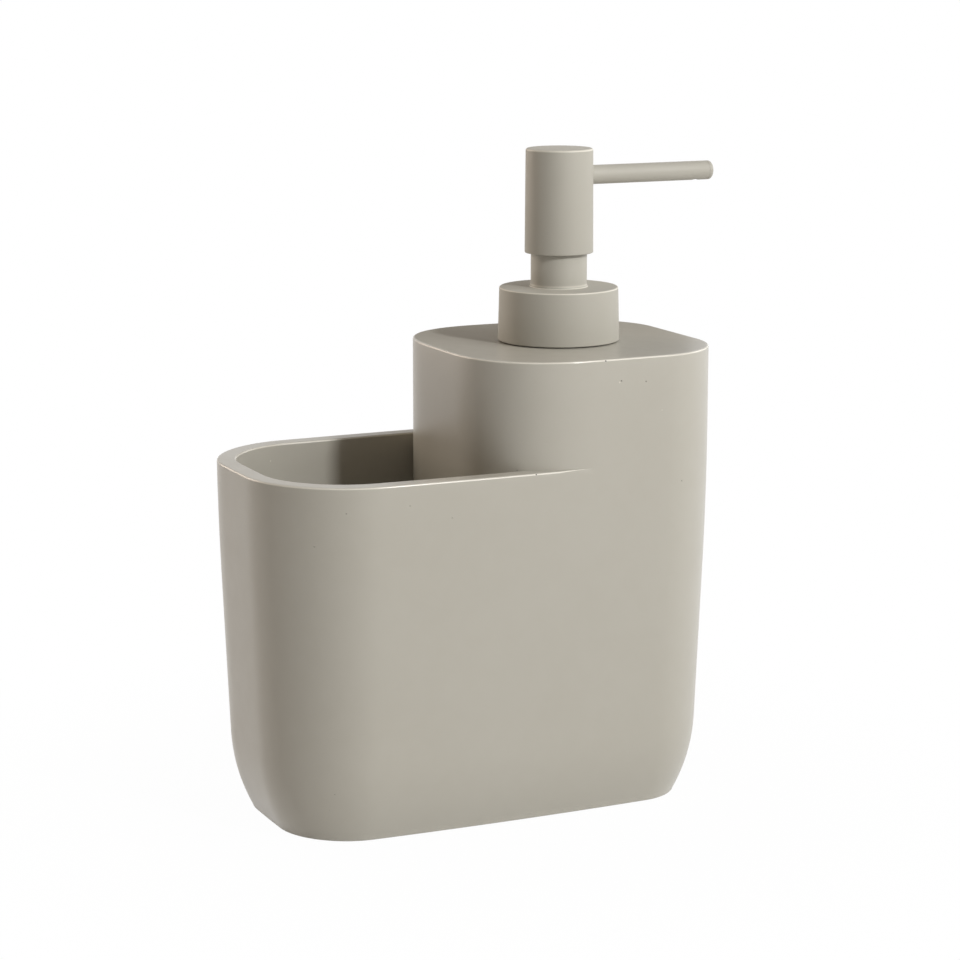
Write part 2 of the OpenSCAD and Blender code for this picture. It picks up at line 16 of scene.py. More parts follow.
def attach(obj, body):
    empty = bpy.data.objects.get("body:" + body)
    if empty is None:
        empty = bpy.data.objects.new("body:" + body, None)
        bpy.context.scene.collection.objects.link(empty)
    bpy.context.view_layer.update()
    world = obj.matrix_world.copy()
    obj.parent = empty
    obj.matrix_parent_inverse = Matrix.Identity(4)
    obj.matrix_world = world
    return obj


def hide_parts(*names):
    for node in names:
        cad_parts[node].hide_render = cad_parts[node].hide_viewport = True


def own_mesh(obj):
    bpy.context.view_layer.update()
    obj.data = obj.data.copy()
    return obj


bl_info = {
    "name": "Soap Pump Caddy",
    "version": (1, 0, 0),
    "blender": (4, 5, 0),
    "location": "View3D > Sidebar > Caddy",
    "description": "Models the visible pieces of a soap pump caddy over its CAD frame",
    "category": "Object",
}

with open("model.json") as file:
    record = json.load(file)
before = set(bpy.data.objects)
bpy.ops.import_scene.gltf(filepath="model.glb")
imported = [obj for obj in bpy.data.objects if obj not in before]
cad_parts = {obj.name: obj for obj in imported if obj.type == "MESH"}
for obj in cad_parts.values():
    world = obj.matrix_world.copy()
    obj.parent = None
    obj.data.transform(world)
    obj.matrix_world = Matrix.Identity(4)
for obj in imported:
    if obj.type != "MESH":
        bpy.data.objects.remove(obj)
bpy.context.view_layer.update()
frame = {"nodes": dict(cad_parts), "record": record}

# Working values of the meshes, in metres.
MERGE = 2e-6  # points nearer to each other than this become one
SLIVER = 1e-7  # shorter edges are dissolved
ON_RING = 5e-6  # how near a ring a point counts as on it
ON_LEVEL = 1e-5  # how near a level a point counts as on it
FINE_STEP = 0.0003  # steps across a rounded edge are shorter than this
FIT_GAP = 0.00005  # gap between two pieces that are glued or pressed together
SHARP_DEGREES = 30  # a wider bend is shaded as a sharp edge
UPRIGHT, LEVEL = 0.05, 0.98  # how far up the normals of flat sides and tops point


# Properties.


def length(name, mm, text):
    """A length property, given in millimetres and kept in metres."""
    return FloatProperty(
        name=name,
        description=text,
        default=mm / 1000,
        unit="LENGTH",
        subtype="DISTANCE",
        precision=5,
    )


def degrees(name, value, text):
    return FloatProperty(
        name=name,
        description=text,
        default=math.radians(value),
        unit="ROTATION",
        subtype="ANGLE",
    )


def share(name, value, text):
    return FloatProperty(
        name=name, description=text, default=value, min=0, max=1, subtype="FACTOR"
    )


def colour(name, rgb, text):
    return FloatVectorProperty(
        name=name, description=text, default=rgb, size=3, min=0, max=1, subtype="COLOR"
    )


class CastBodySizes(bpy.types.PropertyGroup):
    """Sizes of the cast body with its pocket and reservoir."""

    left: length("Left end", -73.4, "Where the pocket's end starts along X")
    full_length: length("Length", 136, "Length of the cast body")
    width: length("Width", 77.2, "Width of the cast body, front to back")
    base: length("Base height", 0.5, "How far the pad lifts the cast body")
    tall_height: length("Tall end height", 130, "Height of the tall end")
    rim_height: length("Rim height", 100.2, "Height of the pocket's rim")
    tall_length: length("Tall end length", 75.2, "Length of the tall end")
    end_radius: length("End corners", 23, "Corner radius of the tall end")
    pocket_radius: length("Pocket corners", 27.5, "Outer corner radius of the pocket")
    inner_radius: length("Inner corners", 24, "Corner radius of the dividing wall")
    corner_power: FloatProperty(
        name="Corner power",
        description="How softly the dividing wall's corners set in; 2 is a round corner",
        default=2.45,
        min=2,
        max=4,
    )
    side_bulge: length("Side bulge", 1.7, "How far the long sides bulge")
    pocket_bulge: length("Pocket bulge", 0.8, "How far the pocket's end bulges")
    inner_bulge: length("Divider bulge", 1.6, "How far the dividing wall bulges")
    wall: length("Pocket wall", 5.4, "Thickness of the pocket's wall at its rim")
    tank_wall: length("Reservoir wall", 5.5, "Thickness of the reservoir's walls")
    roof: length("Roof", 6.5, "Thickness of the reservoir's roof")
    floor: length("Floor", 9, "Thickness of the floor")
    floor_radius: length("Floor fillet", 9, "Radius between floor and walls inside")
    draft_start: length("Draft start", 107.5, "Height where the sides stand upright")
    draft_blend: length("Draft blend", 40, "Height over which the draft sets in")
    draft_angle: degrees("Draft", 2.3, "Draft of the lower sides")
    base_radius: length("Base curve", 49.6, "Radius that turns the sides in below")
    base_curve: length("Base curve height", 22.1, "Height of that curve")
    pad_inset: length("Pad inset", 4, "Distance from the base's edge to the pad")
    pad_recess: length("Pad recess", 1.35, "Depth of the recess for the pad")
    rim_edge: length("Rim edge", 0.55, "Rounding of the rim's outer and inner edge")
    top_edge: length("Top edge", 0.55, "Rounding of the tall end's top edge")
    base_edge: length("Base edge", 0.6, "Rounding of the base's edge")
    hole_radius: length("Neck hole", 14.55, "Radius of the hole for the neck")
    seat_radius: length("Neck seat", 16.15, "Radius of the seat round that hole")
    seat_depth: length("Seat depth", 1.65, "Depth of the seat round that hole")


class PumpSizes(bpy.types.PropertyGroup):
    """Sizes of the pump's visible pieces and of its spring."""

    axis_x: length("Pump axis", 25, "Where the pump's axis stands along X")
    collar_foot: length("Collar foot", 130.8, "Height of the collar's lower edge")
    collar_top: length("Collar top", 145.9, "Height of the collar's top face")
    collar_radius: length("Collar radius", 17.25, "Radius of the collar at its foot")
    collar_top_radius: length("Collar top radius", 16.85, "Radius at its top")
    collar_inside: length("Collar inside", 15.95, "Inner radius of the collar's side")
    collar_edge: length("Collar edge", 0.45, "Rounding of the collar's top edge")
    cover: length("Cover", 0.9, "Thickness of the collar cover's top")
    bead: length("Bead", 0.3, "Height of the bead round the sleeve")
    bead_lip: length("Bead lip", 0.14, "Width of the bead's top")
    hole: length("Sleeve hole", 8.02, "Radius of the hole in the cover's top")
    sleeve_radius: length("Sleeve radius", 7.95, "Radius of the fixed sleeve")
    flare: length("Flare", 0.14, "How far the sleeve flares over the collar")
    flare_height: length("Flare height", 1.4, "Height of that flare")
    sleeve_inside: length("Sleeve inside", 7.15, "Inner radius of the sleeve")
    sleeve_foot: length("Sleeve foot", 9.65, "Radius of the sleeve's hidden foot")
    sleeve_foot_height: length("Sleeve foot height", 1.4, "Height of that foot")
    sleeve_bottom: length("Sleeve bottom", 143.4, "Height of the sleeve's lower end")
    sleeve_top: length("Sleeve top", 158.55, "Height of the sleeve's upper end")
    head_bottom: length("Head bottom", 155.55, "Height of the head's lower edge")
    head_top: length("Head top", 185.25, "Height of the head's top")
    head_radius: length("Head radius", 9.7, "Radius of the head at its lower edge")
    head_top_radius: length("Head top radius", 9.5, "Radius of the head at its top")
    head_inside: length("Head inside", 8.6, "Inner radius of the head's shell")
    head_edge: length("Head edge", 0.6, "Rounding of the head's top edge")
    head_dome: length("Head dome", 0.35, "Height of the dome on the head's top")
    shell: length("Shell", 0.9, "Thickness of the head's shell")
    spout_height: length("Spout height", 177.05, "Height of the spout's axis")
    spout_radius: length("Spout radius", 2.7, "Outer radius of the spout")
    spout_bore: length("Spout bore", 1.8, "Inner radius of the spout")
    spout_gap: length("Spout gap", 0.12, "Gap round the spout in the head's shell")
    spout_start: length("Spout start", 3.56, "Where the spout starts from the axis")
    spout_end: length("Spout end", 46.95, "Where the spout's tube ends")
    spout_reach: length("Spout reach", 48.4, "Where the spout's closed end lies")
    plug_edge: length("Plug edge", 0.9, "Rounding of the spout's closed end")
    plug_shank: length("Plug shank", 2.1, "How far the plug reaches into the tube")
    outlet: length("Outlet", 1.2, "Radius of the outlet in the spout's underside")
    outlet_in: length("Outlet place", 5.2, "Distance from the spout's end to it")
    spring_foot: length("Spring foot", 106.05, "Height of the spring's lower end")
    spring_rise: length("Spring rise", 18.91, "Rise of the spring's free turns")
    spring_radius: length("Spring radius", 3.7, "Radius of the spring's turns")
    wire_radius: length("Wire radius", 0.45, "Radius of the spring's wire")
    spring_turns: IntProperty(
        name="Spring turns",
        description="Number of the spring's free turns",
        default=7,
        min=3,
        max=12,
    )


class Finishes(bpy.types.PropertyGroup):
    """Colours and surface of every material."""

    cast: colour("Cast resin", (0.463, 0.446, 0.391), "Colour of the cast body")
    cast_deep: colour(
        "Cast resin, deep", (0.425, 0.404, 0.346), "The cast body's darker clouds"
    )
    coat: colour("Pump coating", (0.447, 0.431, 0.377), "Colour of the coated pump")
    natural: colour("Moulded plastic", (0.78, 0.79, 0.77), "Colour of hidden mouldings")
    rubber: colour("Rubber", (0.035, 0.035, 0.037), "Colour of the pad and the seals")
    steel: colour("Steel", (0.6, 0.61, 0.63), "Colour of the balls and the spring")
    cast_roughness: share("Cast roughness", 0.32, "Roughness of the cast body")
    coat_roughness: share("Coating roughness", 0.54, "Roughness of the pump's coating")
    edge_polish: share("Edge polish", 0.14, "How much smoother the edges are")
    # Paler rounded upper edges: a painted highlight.
    edge_gain: FloatProperty(
        name="Edge gain",
        description="How much paler the edges are",
        default=1.6,
        min=1,
        max=2,
    )


class StageLook(bpy.types.PropertyGroup):
    """Camera, lamps and floor."""

    lens: FloatProperty(
        name="Lens",
        description="Focal length of the camera",
        default=106.15,
        unit="CAMERA",
        subtype="NONE",
    )
    camera_place: FloatVectorProperty(
        name="Camera place",
        description="Where the camera stands",
        default=(-0.32874, -0.7146, 0.2475),
        size=3,
        unit="LENGTH",
        subtype="TRANSLATION",
    )
    camera_aim: FloatVectorProperty(
        name="Camera direction",
        description="Direction in which the camera looks",
        default=(0.41047, 0.89101, -0.19395),
        size=3,
        subtype="DIRECTION",
    )
    key: FloatProperty(
        name="Key", description="Power of the key lamp", default=18.4, unit="POWER"
    )
    key_core: share("Key core", 0.66, "Share of the key lamp's light in its bright core")
    side: FloatProperty(
        name="Side", description="Power of the side lamp", default=4.5, unit="POWER"
    )
    fill: FloatProperty(
        name="Fill", description="Power of the fill lamp", default=10.1, unit="POWER"
    )
    top: FloatProperty(
        name="Top", description="Power of the top lamp", default=2.4, unit="POWER"
    )
    ambient: FloatProperty(
        name="Ambient", description="Level of the room's light", default=0.16, min=0
    )
    warm: colour("Warm", (1, 0.85, 0.72), "Colour of the room's and the fill's light")
    floor: colour("Floor", (0.8, 0.8, 0.79), "Colour of the floor")
    flag: colour("Flag", (0.25, 0.24, 0.22), "Colour of the grey card")
    flag_place: FloatVectorProperty(
        name="Flag place",
        description="Where the grey card stands",
        default=(0.0865, 0.136, 0.165),
        size=3,
        unit="LENGTH",
        subtype="TRANSLATION",
    )
    flag_size: FloatVectorProperty(
        name="Flag size",
        description="Size of the grey card",
        default=(0.1, 0.002, 0.07),
        size=3,
        unit="LENGTH",
        subtype="TRANSLATION",
    )
    floor_fade: share("Floor fade", 0.98, "How far the floor fades to white in view")


# Mesh helpers.


def finish_piece(bm, name, body, replaces, slot, painted_edge_highlight=True):
    """Cleans a bmesh, makes it an object and ties it to the CAD frame."""
    bmesh.ops.remove_doubles(bm, verts=bm.verts, dist=MERGE)
    bmesh.ops.dissolve_degenerate(bm, edges=bm.edges, dist=SLIVER)
    loose = [v for v in bm.verts if not v.link_faces]
    bmesh.ops.delete(bm, geom=loose, context="VERTS")
    bmesh.ops.recalc_face_normals(bm, faces=bm.faces)
    if any(len(e.link_faces) != 2 for e in bm.edges):
        bad = [e for e in bm.edges if len(e.link_faces) != 2]
        raise RuntimeError(
            f"{name} isn't closed: {len(bad)} edges, near {bad[0].verts[0].co}"
        )
    for f in bm.faces:
        f.smooth = True
    for e in bm.edges:
        e.smooth = e.calc_face_angle(0) < math.radians(SHARP_DEGREES)
    # The edge attribute marks where a painted highlight pales the rounded upper edges.
    edge_highlight = bm.verts.layers.float.new("edge")
    bm.normal_update()
    for v in bm.verts:
        v[edge_highlight] = edge_share(v) if painted_edge_highlight else 0
    mesh = bpy.data.meshes.new(name)
    bm.to_mesh(mesh)
    bm.free()
    piece = bpy.data.objects.new(name, mesh)
    bpy.context.scene.collection.objects.link(piece)
    mesh.materials.append(material_for(slot))
    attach(piece, body)
    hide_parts(*replaces)
    return piece


def edge_share(v):
    """How far a point lies inside a rounded upper edge, which gets a painted highlight:
    1 in the middle of the rounding, 0 on the faces beside it."""
    up = v.normal.z
    bend = max(e.calc_face_angle(0) for e in v.link_edges)
    short = [e for e in v.link_edges if e.calc_length() < FINE_STEP]
    flat = not UPRIGHT < up < LEVEL
    if len(short) < 2 or flat or bend > math.radians(SHARP_DEGREES):
        return 0
    return 4 * up * (1 - up)


def between(start, end, steps):
    """Even steps from start to end, after the start."""
    return [start + (end - start) * k / steps for k in range(1, steps + 1)]


def quarter(steps):
    """Cosine and sine at each step of a quarter turn, after its start."""
    turns = [math.radians(a) for a in between(0, 90, steps)]
    return [(math.cos(a), math.sin(a)) for a in turns]


def start_ring(bm, count, place):
    """A ring of numbered points, each put where place(number) says."""
    number = bm.verts.layers.int.get("number") or bm.verts.layers.int.new("number")
    ring = bmesh.ops.create_circle(bm, segments=count, radius=1)["verts"]
    for i, v in enumerate(ring):
        v[number] = i
        v.co = place(i)
    return list(dict.fromkeys(e for v in ring for e in v.link_edges))


def grow(bm, edges, place):
    """Extrudes a chain of edges once. Its points keep their numbers and go where
    place(number) says. Returns the new chain."""
    number = bm.verts.layers.int.get("number")
    made = bmesh.ops.extrude_edge_only(bm, edges=edges)["geom"]
    verts = {g for g in made if isinstance(g, bmesh.types.BMVert)}
    for v in verts:
        v.co = place(v[number])
    return [
        g
        for g in made
        if isinstance(g, bmesh.types.BMEdge)
        and g.verts[0] in verts
        and g.verts[1] in verts
    ]


def chain_where(bm, edges, test):
    """The edges of a chain whose two points' numbers pass a test together."""
    number = bm.verts.layers.int.get("number")
    return [e for e in edges if test(e.verts[0][number], e.verts[1][number])]


# Cast body.

Plan = namedtuple("Plan", "left right half left_r right_r side tip")


def on_plan(plan, part, t):
    """A point of a plan outline: t is an x on the front or the back, a share of an
    end, and a share of a quarter turn on a corner."""
    c = plan.half - plan.side
    xl, xr = plan.left + plan.tip, plan.right
    lr, rr = plan.left_r, plan.right_r
    if part == "front":
        x, y = t, -c
    elif part == "back":
        x, y = t, c
    elif part == "right_end":
        x, y = xr, (c - rr) * (2 * t - 1)
    elif part == "left_end":
        x, y = xl, (c - lr) * (1 - 2 * t)
    else:
        cx, cy, r, turn = {
            "front_right": (xr - rr, rr - c, rr, 270),
            "back_right": (xr - rr, c - rr, rr, 0),
            "back_left": (xl + lr, c - lr, lr, 90),
            "front_left": (xl + lr, lr - c, lr, 180),
        }[part]
        a = math.radians(turn + 90 * t)
        x, y = cx + r * math.cos(a), cy + r * math.sin(a)
    u = (x - (plan.left + plan.right) / 2) / ((plan.right - plan.left) / 2)
    v = y / c
    return Vector(
        (
            x - plan.tip * max(0, -u) * (1 - v * v),
            y * (1 + plan.side / c * (1 - u * u)),
        )
    )


class BodyShape:
    """Where the cast body's points lie, worked out from its sizes."""

    # Parts of the outline from the front tangent point of the dividing wall's
    # corner, anticlockwise, each with the number of its steps.
    outer_parts = (
        ("front_side", 8),
        ("front_right", 20),
        ("right_end", 8),
        ("back_right", 20),
        ("back_side", 8),
        ("back_foot", 10),
        ("back_pocket", 8),
        ("back_left", 20),
        ("left_end", 10),
        ("front_left", 20),
        ("front_pocket", 8),
        ("front_foot", 10),
    )
    arc_steps = 18
    wall_steps = 8
    least_corner = 0.002
    narrow_share = 0.45
    halvings = 50

    def __init__(self, s):
        self.s = s
        self.right = s.left + s.full_length
        self.tall_left = self.right - s.tall_length
        self.rim = s.base + s.rim_height
        self.top = s.base + s.tall_height
        self.ground = s.base + s.floor
        self.spots = [
            (part, i / n) for part, n in self.outer_parts for i in range(n)
        ]
        # The dividing wall's corner sets in softly: a superellipse that passes the
        # same middle point as the round corner.
        round_share = 1 - 0.5**0.5
        self.corner = s.inner_radius * round_share / (1 - 0.5 ** (1 / s.corner_power))
        self.foot_x = self.tall_left + s.inner_bulge + self.corner
        self.foot_y = on_plan(self.body_plan(0), "back", self.foot_x).y - self.corner
        self.divider = Plan(
            self.tall_left,
            self.right + s.end_radius,
            s.width / 2,
            s.inner_radius,
            s.end_radius,
            0,
            s.inner_bulge,
        )
        self.lip_turn = self.meet(s.wall - s.rim_edge)

    def first(self, part):
        """Number of the first point of a part of the outline."""
        return next(i for i, spot in enumerate(self.spots) if spot == (part, 0))

    def side_in(self, z):
        """How far the side stands in from the rim's outline at height z."""
        s = self.s
        d, h = s.draft_start - z, s.draft_blend / 2
        slope = math.tan(s.draft_angle)
        draft = 0 if d <= 0 else slope * d * d / (4 * h) if d < 2 * h else slope * (d - h)
        e = max(0, s.base + s.base_curve - z)
        return draft + s.base_radius - math.sqrt(s.base_radius**2 - e * e)

    def fillet_in(self, z, level):
        """How far an inner fillet that stands on a level stands in at height z."""
        e = min(self.s.floor_radius, max(0, level + self.s.floor_radius - z))
        return self.s.floor_radius - math.sqrt(self.s.floor_radius**2 - e * e)

    def body_plan(self, d):
        s = self.s
        return Plan(
            s.left + d,
            self.right - d,
            s.width / 2 - d,
            max(self.least_corner, s.pocket_radius - d),
            max(self.least_corner, s.end_radius - d),
            s.side_bulge,
            s.pocket_bulge,
        )

    def tank_plan(self, d):
        s = self.s
        return Plan(
            self.tall_left + d,
            self.right - d,
            s.width / 2 - d,
            max(self.least_corner, s.inner_radius - d),
            max(self.least_corner, s.end_radius - d),
            s.side_bulge,
            s.inner_bulge,
        )

    def divider_at(self, turn, side, inset=0):
        """A point on the dividing wall's corner, turned from its tangent point."""
        r = self.corner - inset
        if turn == 0:
            return on_plan(
                self.body_plan(inset), "back" if side > 0 else "front", self.foot_x
            )
        power = 2 / self.s.corner_power
        return self.divider_point(
            self.foot_x - r * math.sin(turn) ** power,
            side * (self.foot_y + r * max(0, math.cos(turn)) ** power),
        )

    def divider_point(self, x, y):
        """The dividing wall's bulge added to a plain point."""
        p = self.divider
        u = (x - (p.left + p.right) / 2) / ((p.right - p.left) / 2)
        v = y / p.half
        return Vector((x - p.tip * max(0, -u) * (1 - v * v), y))

    def divider_spot(self, i, turn, inset=0):
        """Point i along the dividing wall from the back to the front, where its
        corners are cut off at a turn."""
        a, w = self.arc_steps, self.wall_steps
        if i <= a or i >= a + w:
            k = i if i <= a else 2 * a + w - i
            return self.divider_at(
                turn + (math.pi / 2 - turn) * k / a, 1 if i <= a else -1, inset
            )
        x = self.foot_x - self.corner + inset
        return self.divider_point(x, self.foot_y * (1 - 2 * (i - a) / w))

    def meet(self, d):
        """Turn at which the dividing wall's corner meets the outline set in by d."""
        plan = self.body_plan(d)
        low, high = 0.0, math.pi / 2
        for _ in range(self.halvings):
            mid = (low + high) / 2
            p = self.divider_at(mid, 1)
            if p.y > on_plan(plan, "back", p.x).y:
                low = mid
            else:
                high = mid
        return low

    def outer(self, i, d, turn=None):
        """Point i of the outline, set in by d. The pocket's long sides end where the
        dividing wall's corner stands at a turn."""
        plan = self.body_plan(d)
        part, t = self.spots[i]
        ends = {
            "front": plan.left + plan.tip + plan.left_r,
            "back": plan.right - plan.right_r,
        }
        turn = self.lip_turn if turn is None else turn
        lip_x = self.divider_at(turn, 1).x
        if part == "front_side":
            return on_plan(plan, "front", self.foot_x + (ends["back"] - self.foot_x) * t)
        if part == "back_side":
            return on_plan(plan, "back", ends["back"] + (self.foot_x - ends["back"]) * t)
        if part == "back_foot":
            return on_plan(plan, "back", self.divider_at(self.lip_turn * t, 1).x)
        if part == "front_foot":
            return on_plan(
                plan, "front", self.divider_at(self.lip_turn * (1 - t), 1).x
            )
        if part == "back_pocket":
            return on_plan(plan, "back", lip_x + (ends["front"] - lip_x) * t)
        if part == "front_pocket":
            return on_plan(plan, "front", ends["front"] + (lip_x - ends["front"]) * t)
        return on_plan(plan, part, t)

    def foot(self, i):
        """Where the dividing wall's corner stands on the rim beside point i, or
        None where no corner stands."""
        part, t = self.spots[i]
        if part == "back_foot":
            return self.divider_at(self.lip_turn * t, 1)
        if part == "front_foot":
            return self.divider_at(self.lip_turn * (1 - t), -1)
        if (part, t) == ("back_pocket", 0):
            return self.divider_at(self.lip_turn, 1)
        if (part, t) == ("front_side", 0):
            return self.divider_at(0, -1)
        return None

    def edge_radius(self, i):
        """Rounding of the rim's outer edge beside point i."""
        if i < self.first("back_foot"):
            return 0
        foot = self.foot(i)
        if foot is None:
            return self.s.rim_edge
        width = (self.outer(i, 0) - foot).length
        return min(self.s.rim_edge, self.narrow_share * width)


def cast_body(s, axis):
    """The cast body as one closed skin, grown ring by ring."""
    shape = BodyShape(s)
    bm = bmesh.new()
    count = len(shape.spots)
    back_foot = shape.first("back_foot")
    back_pocket = shape.first("back_pocket")
    front_foot = shape.first("front_foot")

    edge_steps, tank_steps, floor_steps = 5, 6, 8
    base_ledge, top_ledge = 0.0004, 0.0006
    rim_band, top_band = 0.002, 0.01
    flat_shares = (0.1, 0.5, 0.9, 1)

    def level(z, d):
        return lambda i: (*shape.outer(i, d), z)

    # Outside, from the base's edge up to the rim.
    skin_low = s.base + s.base_edge
    low_in = shape.side_in(skin_low)
    start = start_ring(bm, count, level(s.base, low_in + s.base_edge))

    # Below, the base's flat and the pad's recess.
    edge = shape.side_in(s.base) + s.pad_inset - FIT_GAP
    under = grow(bm, start, level(s.base, low_in + s.base_edge + base_ledge))
    under = grow(bm, under, level(s.base, edge))
    under = grow(bm, under, level(s.base + s.pad_recess, edge))
    bmesh.ops.contextual_create(bm, geom=under)
    ring = start
    for cos, sin in quarter(edge_steps):
        z = s.base + s.base_edge * (1 - cos)
        ring = grow(bm, ring, level(z, low_in + s.base_edge * (1 - sin)))
    closer_below = 1.15
    curve_top = s.base + s.base_curve
    curve = [
        skin_low + (curve_top - skin_low) * t**closer_below for t in between(0, 1, 10)
    ]
    bend = s.draft_start - s.draft_blend
    straight = between(curve_top, bend, 5)
    blend = between(bend, shape.rim - rim_band, 8)
    for z in curve + straight + blend:
        ring = grow(bm, ring, level(z, shape.side_in(z)))

    def under_rim(i):
        z = shape.rim - shape.edge_radius(i)
        return (*shape.outer(i, shape.side_in(z)), z)

    ring = grow(bm, ring, under_rim)

    # The rim: its outer rounding, its flat, and the line where the flat ends.
    lip = chain_where(
        bm, ring, lambda a, b: min(a, b) >= back_foot or {a, b} == {0, count - 1}
    )
    edge_in = shape.side_in(shape.rim - s.rim_edge)
    for cos, sin in quarter(edge_steps):

        def rounding(i, cos=cos, sin=sin):
            r = shape.edge_radius(i)
            return (*shape.outer(i, edge_in + r * (1 - cos)), shape.rim - r * (1 - sin))

        lip = grow(bm, lip, rounding)
    for t in flat_shares:

        def flat(i, t=t):
            foot = shape.foot(i)
            near = shape.outer(i, edge_in + shape.edge_radius(i))
            far = shape.outer(i, s.wall - s.rim_edge) if foot is None else foot
            return (*near.lerp(far, t), shape.rim)

        lip = grow(bm, lip, flat)

    # The dividing wall's line across the pocket, between the two ends of the lip.
    number = bm.verts.layers.int.get("number")
    ends = {v[number]: v for e in lip for v in e.verts}
    at = ends[back_pocket]
    for i in range(1, 2 * shape.arc_steps + shape.wall_steps):
        at = bmesh.ops.extrude_vert_indiv(bm, verts=[at])["verts"][0]
        at[number] = count + i
        at.co = (*shape.divider_spot(i, shape.lip_turn), shape.rim)
    bm.edges.new((at, ends[front_foot]))

    # The tall end's outline above the rim goes round the outer sides, the dividing
    # wall's feet and the line across. The pocket's mouth takes the rest and that line.
    bmesh.ops.remove_doubles(bm, verts=bm.verts, dist=MERGE)
    rim_edges = [
        e
        for e in bm.edges
        if len(e.link_faces) < 2 and min(v.co.z for v in e.verts) > shape.rim - ON_LEVEL
    ]
    divider = chain_where(bm, rim_edges, lambda a, b: max(a, b) > count)
    mouth = chain_where(
        bm, rim_edges, lambda a, b: back_pocket <= min(a, b) and max(a, b) <= front_foot
    )
    tower = [e for e in rim_edges if e not in mouth]

    def tall_spot(i, d):
        if i > count:
            return shape.divider_spot(i - count, shape.lip_turn, d)
        part, t = shape.spots[i]
        if i == back_pocket:
            return shape.divider_at(shape.lip_turn, 1, d)
        if part == "back_foot":
            return shape.divider_at(shape.lip_turn * t, 1, d)
        if part == "front_foot":
            return shape.divider_at(shape.lip_turn * (1 - t), -1, d)
        return shape.outer(i, d)

    brow = shape.top - s.top_edge
    for z in (s.draft_start, brow - top_band, brow):
        tower = grow(bm, tower, lambda i, z=z: (*tall_spot(i, 0), z))
    for cos, sin in quarter(edge_steps):
        d, z = s.top_edge * (1 - cos), shape.top - s.top_edge * (1 - sin)
        tower = grow(bm, tower, lambda i, d=d, z=z: (*tall_spot(i, d), z))
    tower = grow(
        bm, tower, lambda i: (*tall_spot(i, s.top_edge + top_ledge), shape.top)
    )

    # The seat and the hole for the neck, then the reservoir under them.
    hole_steps = 96

    def round_at(r, z):
        return lambda i: (
            axis + r * math.cos(math.tau * i / hole_steps),
            r * math.sin(math.tau * i / hole_steps),
            z,
        )

    hole = start_ring(bm, hole_steps, round_at(s.seat_radius, shape.top))
    bmesh.ops.bridge_loops(bm, edges=tower + hole)
    for r, z in (
        (s.seat_radius, shape.top - s.seat_depth),
        (s.hole_radius, shape.top - s.seat_depth),
        (s.hole_radius, shape.top - s.roof),
    ):
        hole = grow(bm, hole, round_at(r, z))
    tank_parts = (
        ("front", 6),
        ("front_right", 8),
        ("right_end", 4),
        ("back_right", 8),
        ("back", 6),
        ("back_left", 8),
        ("left_end", 4),
        ("front_left", 8),
    )
    tank_spots = [(p, i / n) for p, n in tank_parts for i in range(n)]

    def tank(d, z):
        plan = shape.tank_plan(d)
        xl, xr = plan.left + plan.tip + plan.left_r, plan.right - plan.right_r

        def place(i):
            part, t = tank_spots[i]
            if part == "front":
                t = xl + (xr - xl) * t
            elif part == "back":
                t = xr + (xl - xr) * t
            return (*on_plan(plan, part, t), z)

        return place

    r = s.floor_radius
    roof = shape.top - s.roof
    room = start_ring(bm, len(tank_spots), tank(s.tank_wall + r, roof))
    bmesh.ops.bridge_loops(bm, edges=hole + room)
    for cos, sin in quarter(tank_steps):
        room = grow(bm, room, tank(s.tank_wall + r * (1 - sin), roof - r * (1 - cos)))
    for z in between(roof - r, shape.ground + r, 8):
        room = grow(bm, room, tank(s.tank_wall + shape.side_in(z), z))
    for _, sin in quarter(tank_steps):
        z = shape.ground + r * (1 - sin)
        d = s.tank_wall + shape.side_in(z) + shape.fillet_in(z, shape.ground)
        room = grow(bm, room, tank(d, z))
    bmesh.ops.contextual_create(bm, geom=room)

    # The pocket: the rim's inner rounding, the walls and the floor's fillet.
    pocket = mouth + divider

    def pocket_ring(d, z):
        turn = shape.meet(d)

        def place(i):
            if i > count:
                return (*shape.divider_spot(i - count, turn), z)
            if i == back_pocket:
                return (*shape.divider_at(turn, 1), z)
            if i == front_foot:
                return (*shape.divider_at(turn, -1), z)
            return (*shape.outer(i, d, turn), z)

        return place

    for cos, sin in quarter(edge_steps):
        z = shape.rim - s.rim_edge * (1 - cos)
        pocket = grow(bm, pocket, pocket_ring(s.wall - s.rim_edge * (1 - sin), z))
    for z in between(shape.rim - s.rim_edge, shape.ground + r, 12):
        pocket = grow(bm, pocket, pocket_ring(s.wall + shape.side_in(z), z))
    for _, sin in quarter(floor_steps):
        z = shape.ground + r * (1 - sin)
        d = s.wall + shape.side_in(z) + shape.fillet_in(z, shape.ground)
        pocket = grow(bm, pocket, pocket_ring(d, z))
    bmesh.ops.contextual_create(bm, geom=pocket)
    return bm


# Pump pieces.

COLLAR_STEPS = 160
SLEEVE_STEPS = 128
SPOUT_STEPS = 96
DRILL_STEPS = 48
COLLAR_FOOT_ROUNDING = 0.0003
SHELL_ROUNDING = 0.00025
CLOSED_PITCH = 2.1  # pitch of the spring's closed turns, in radii of its wire


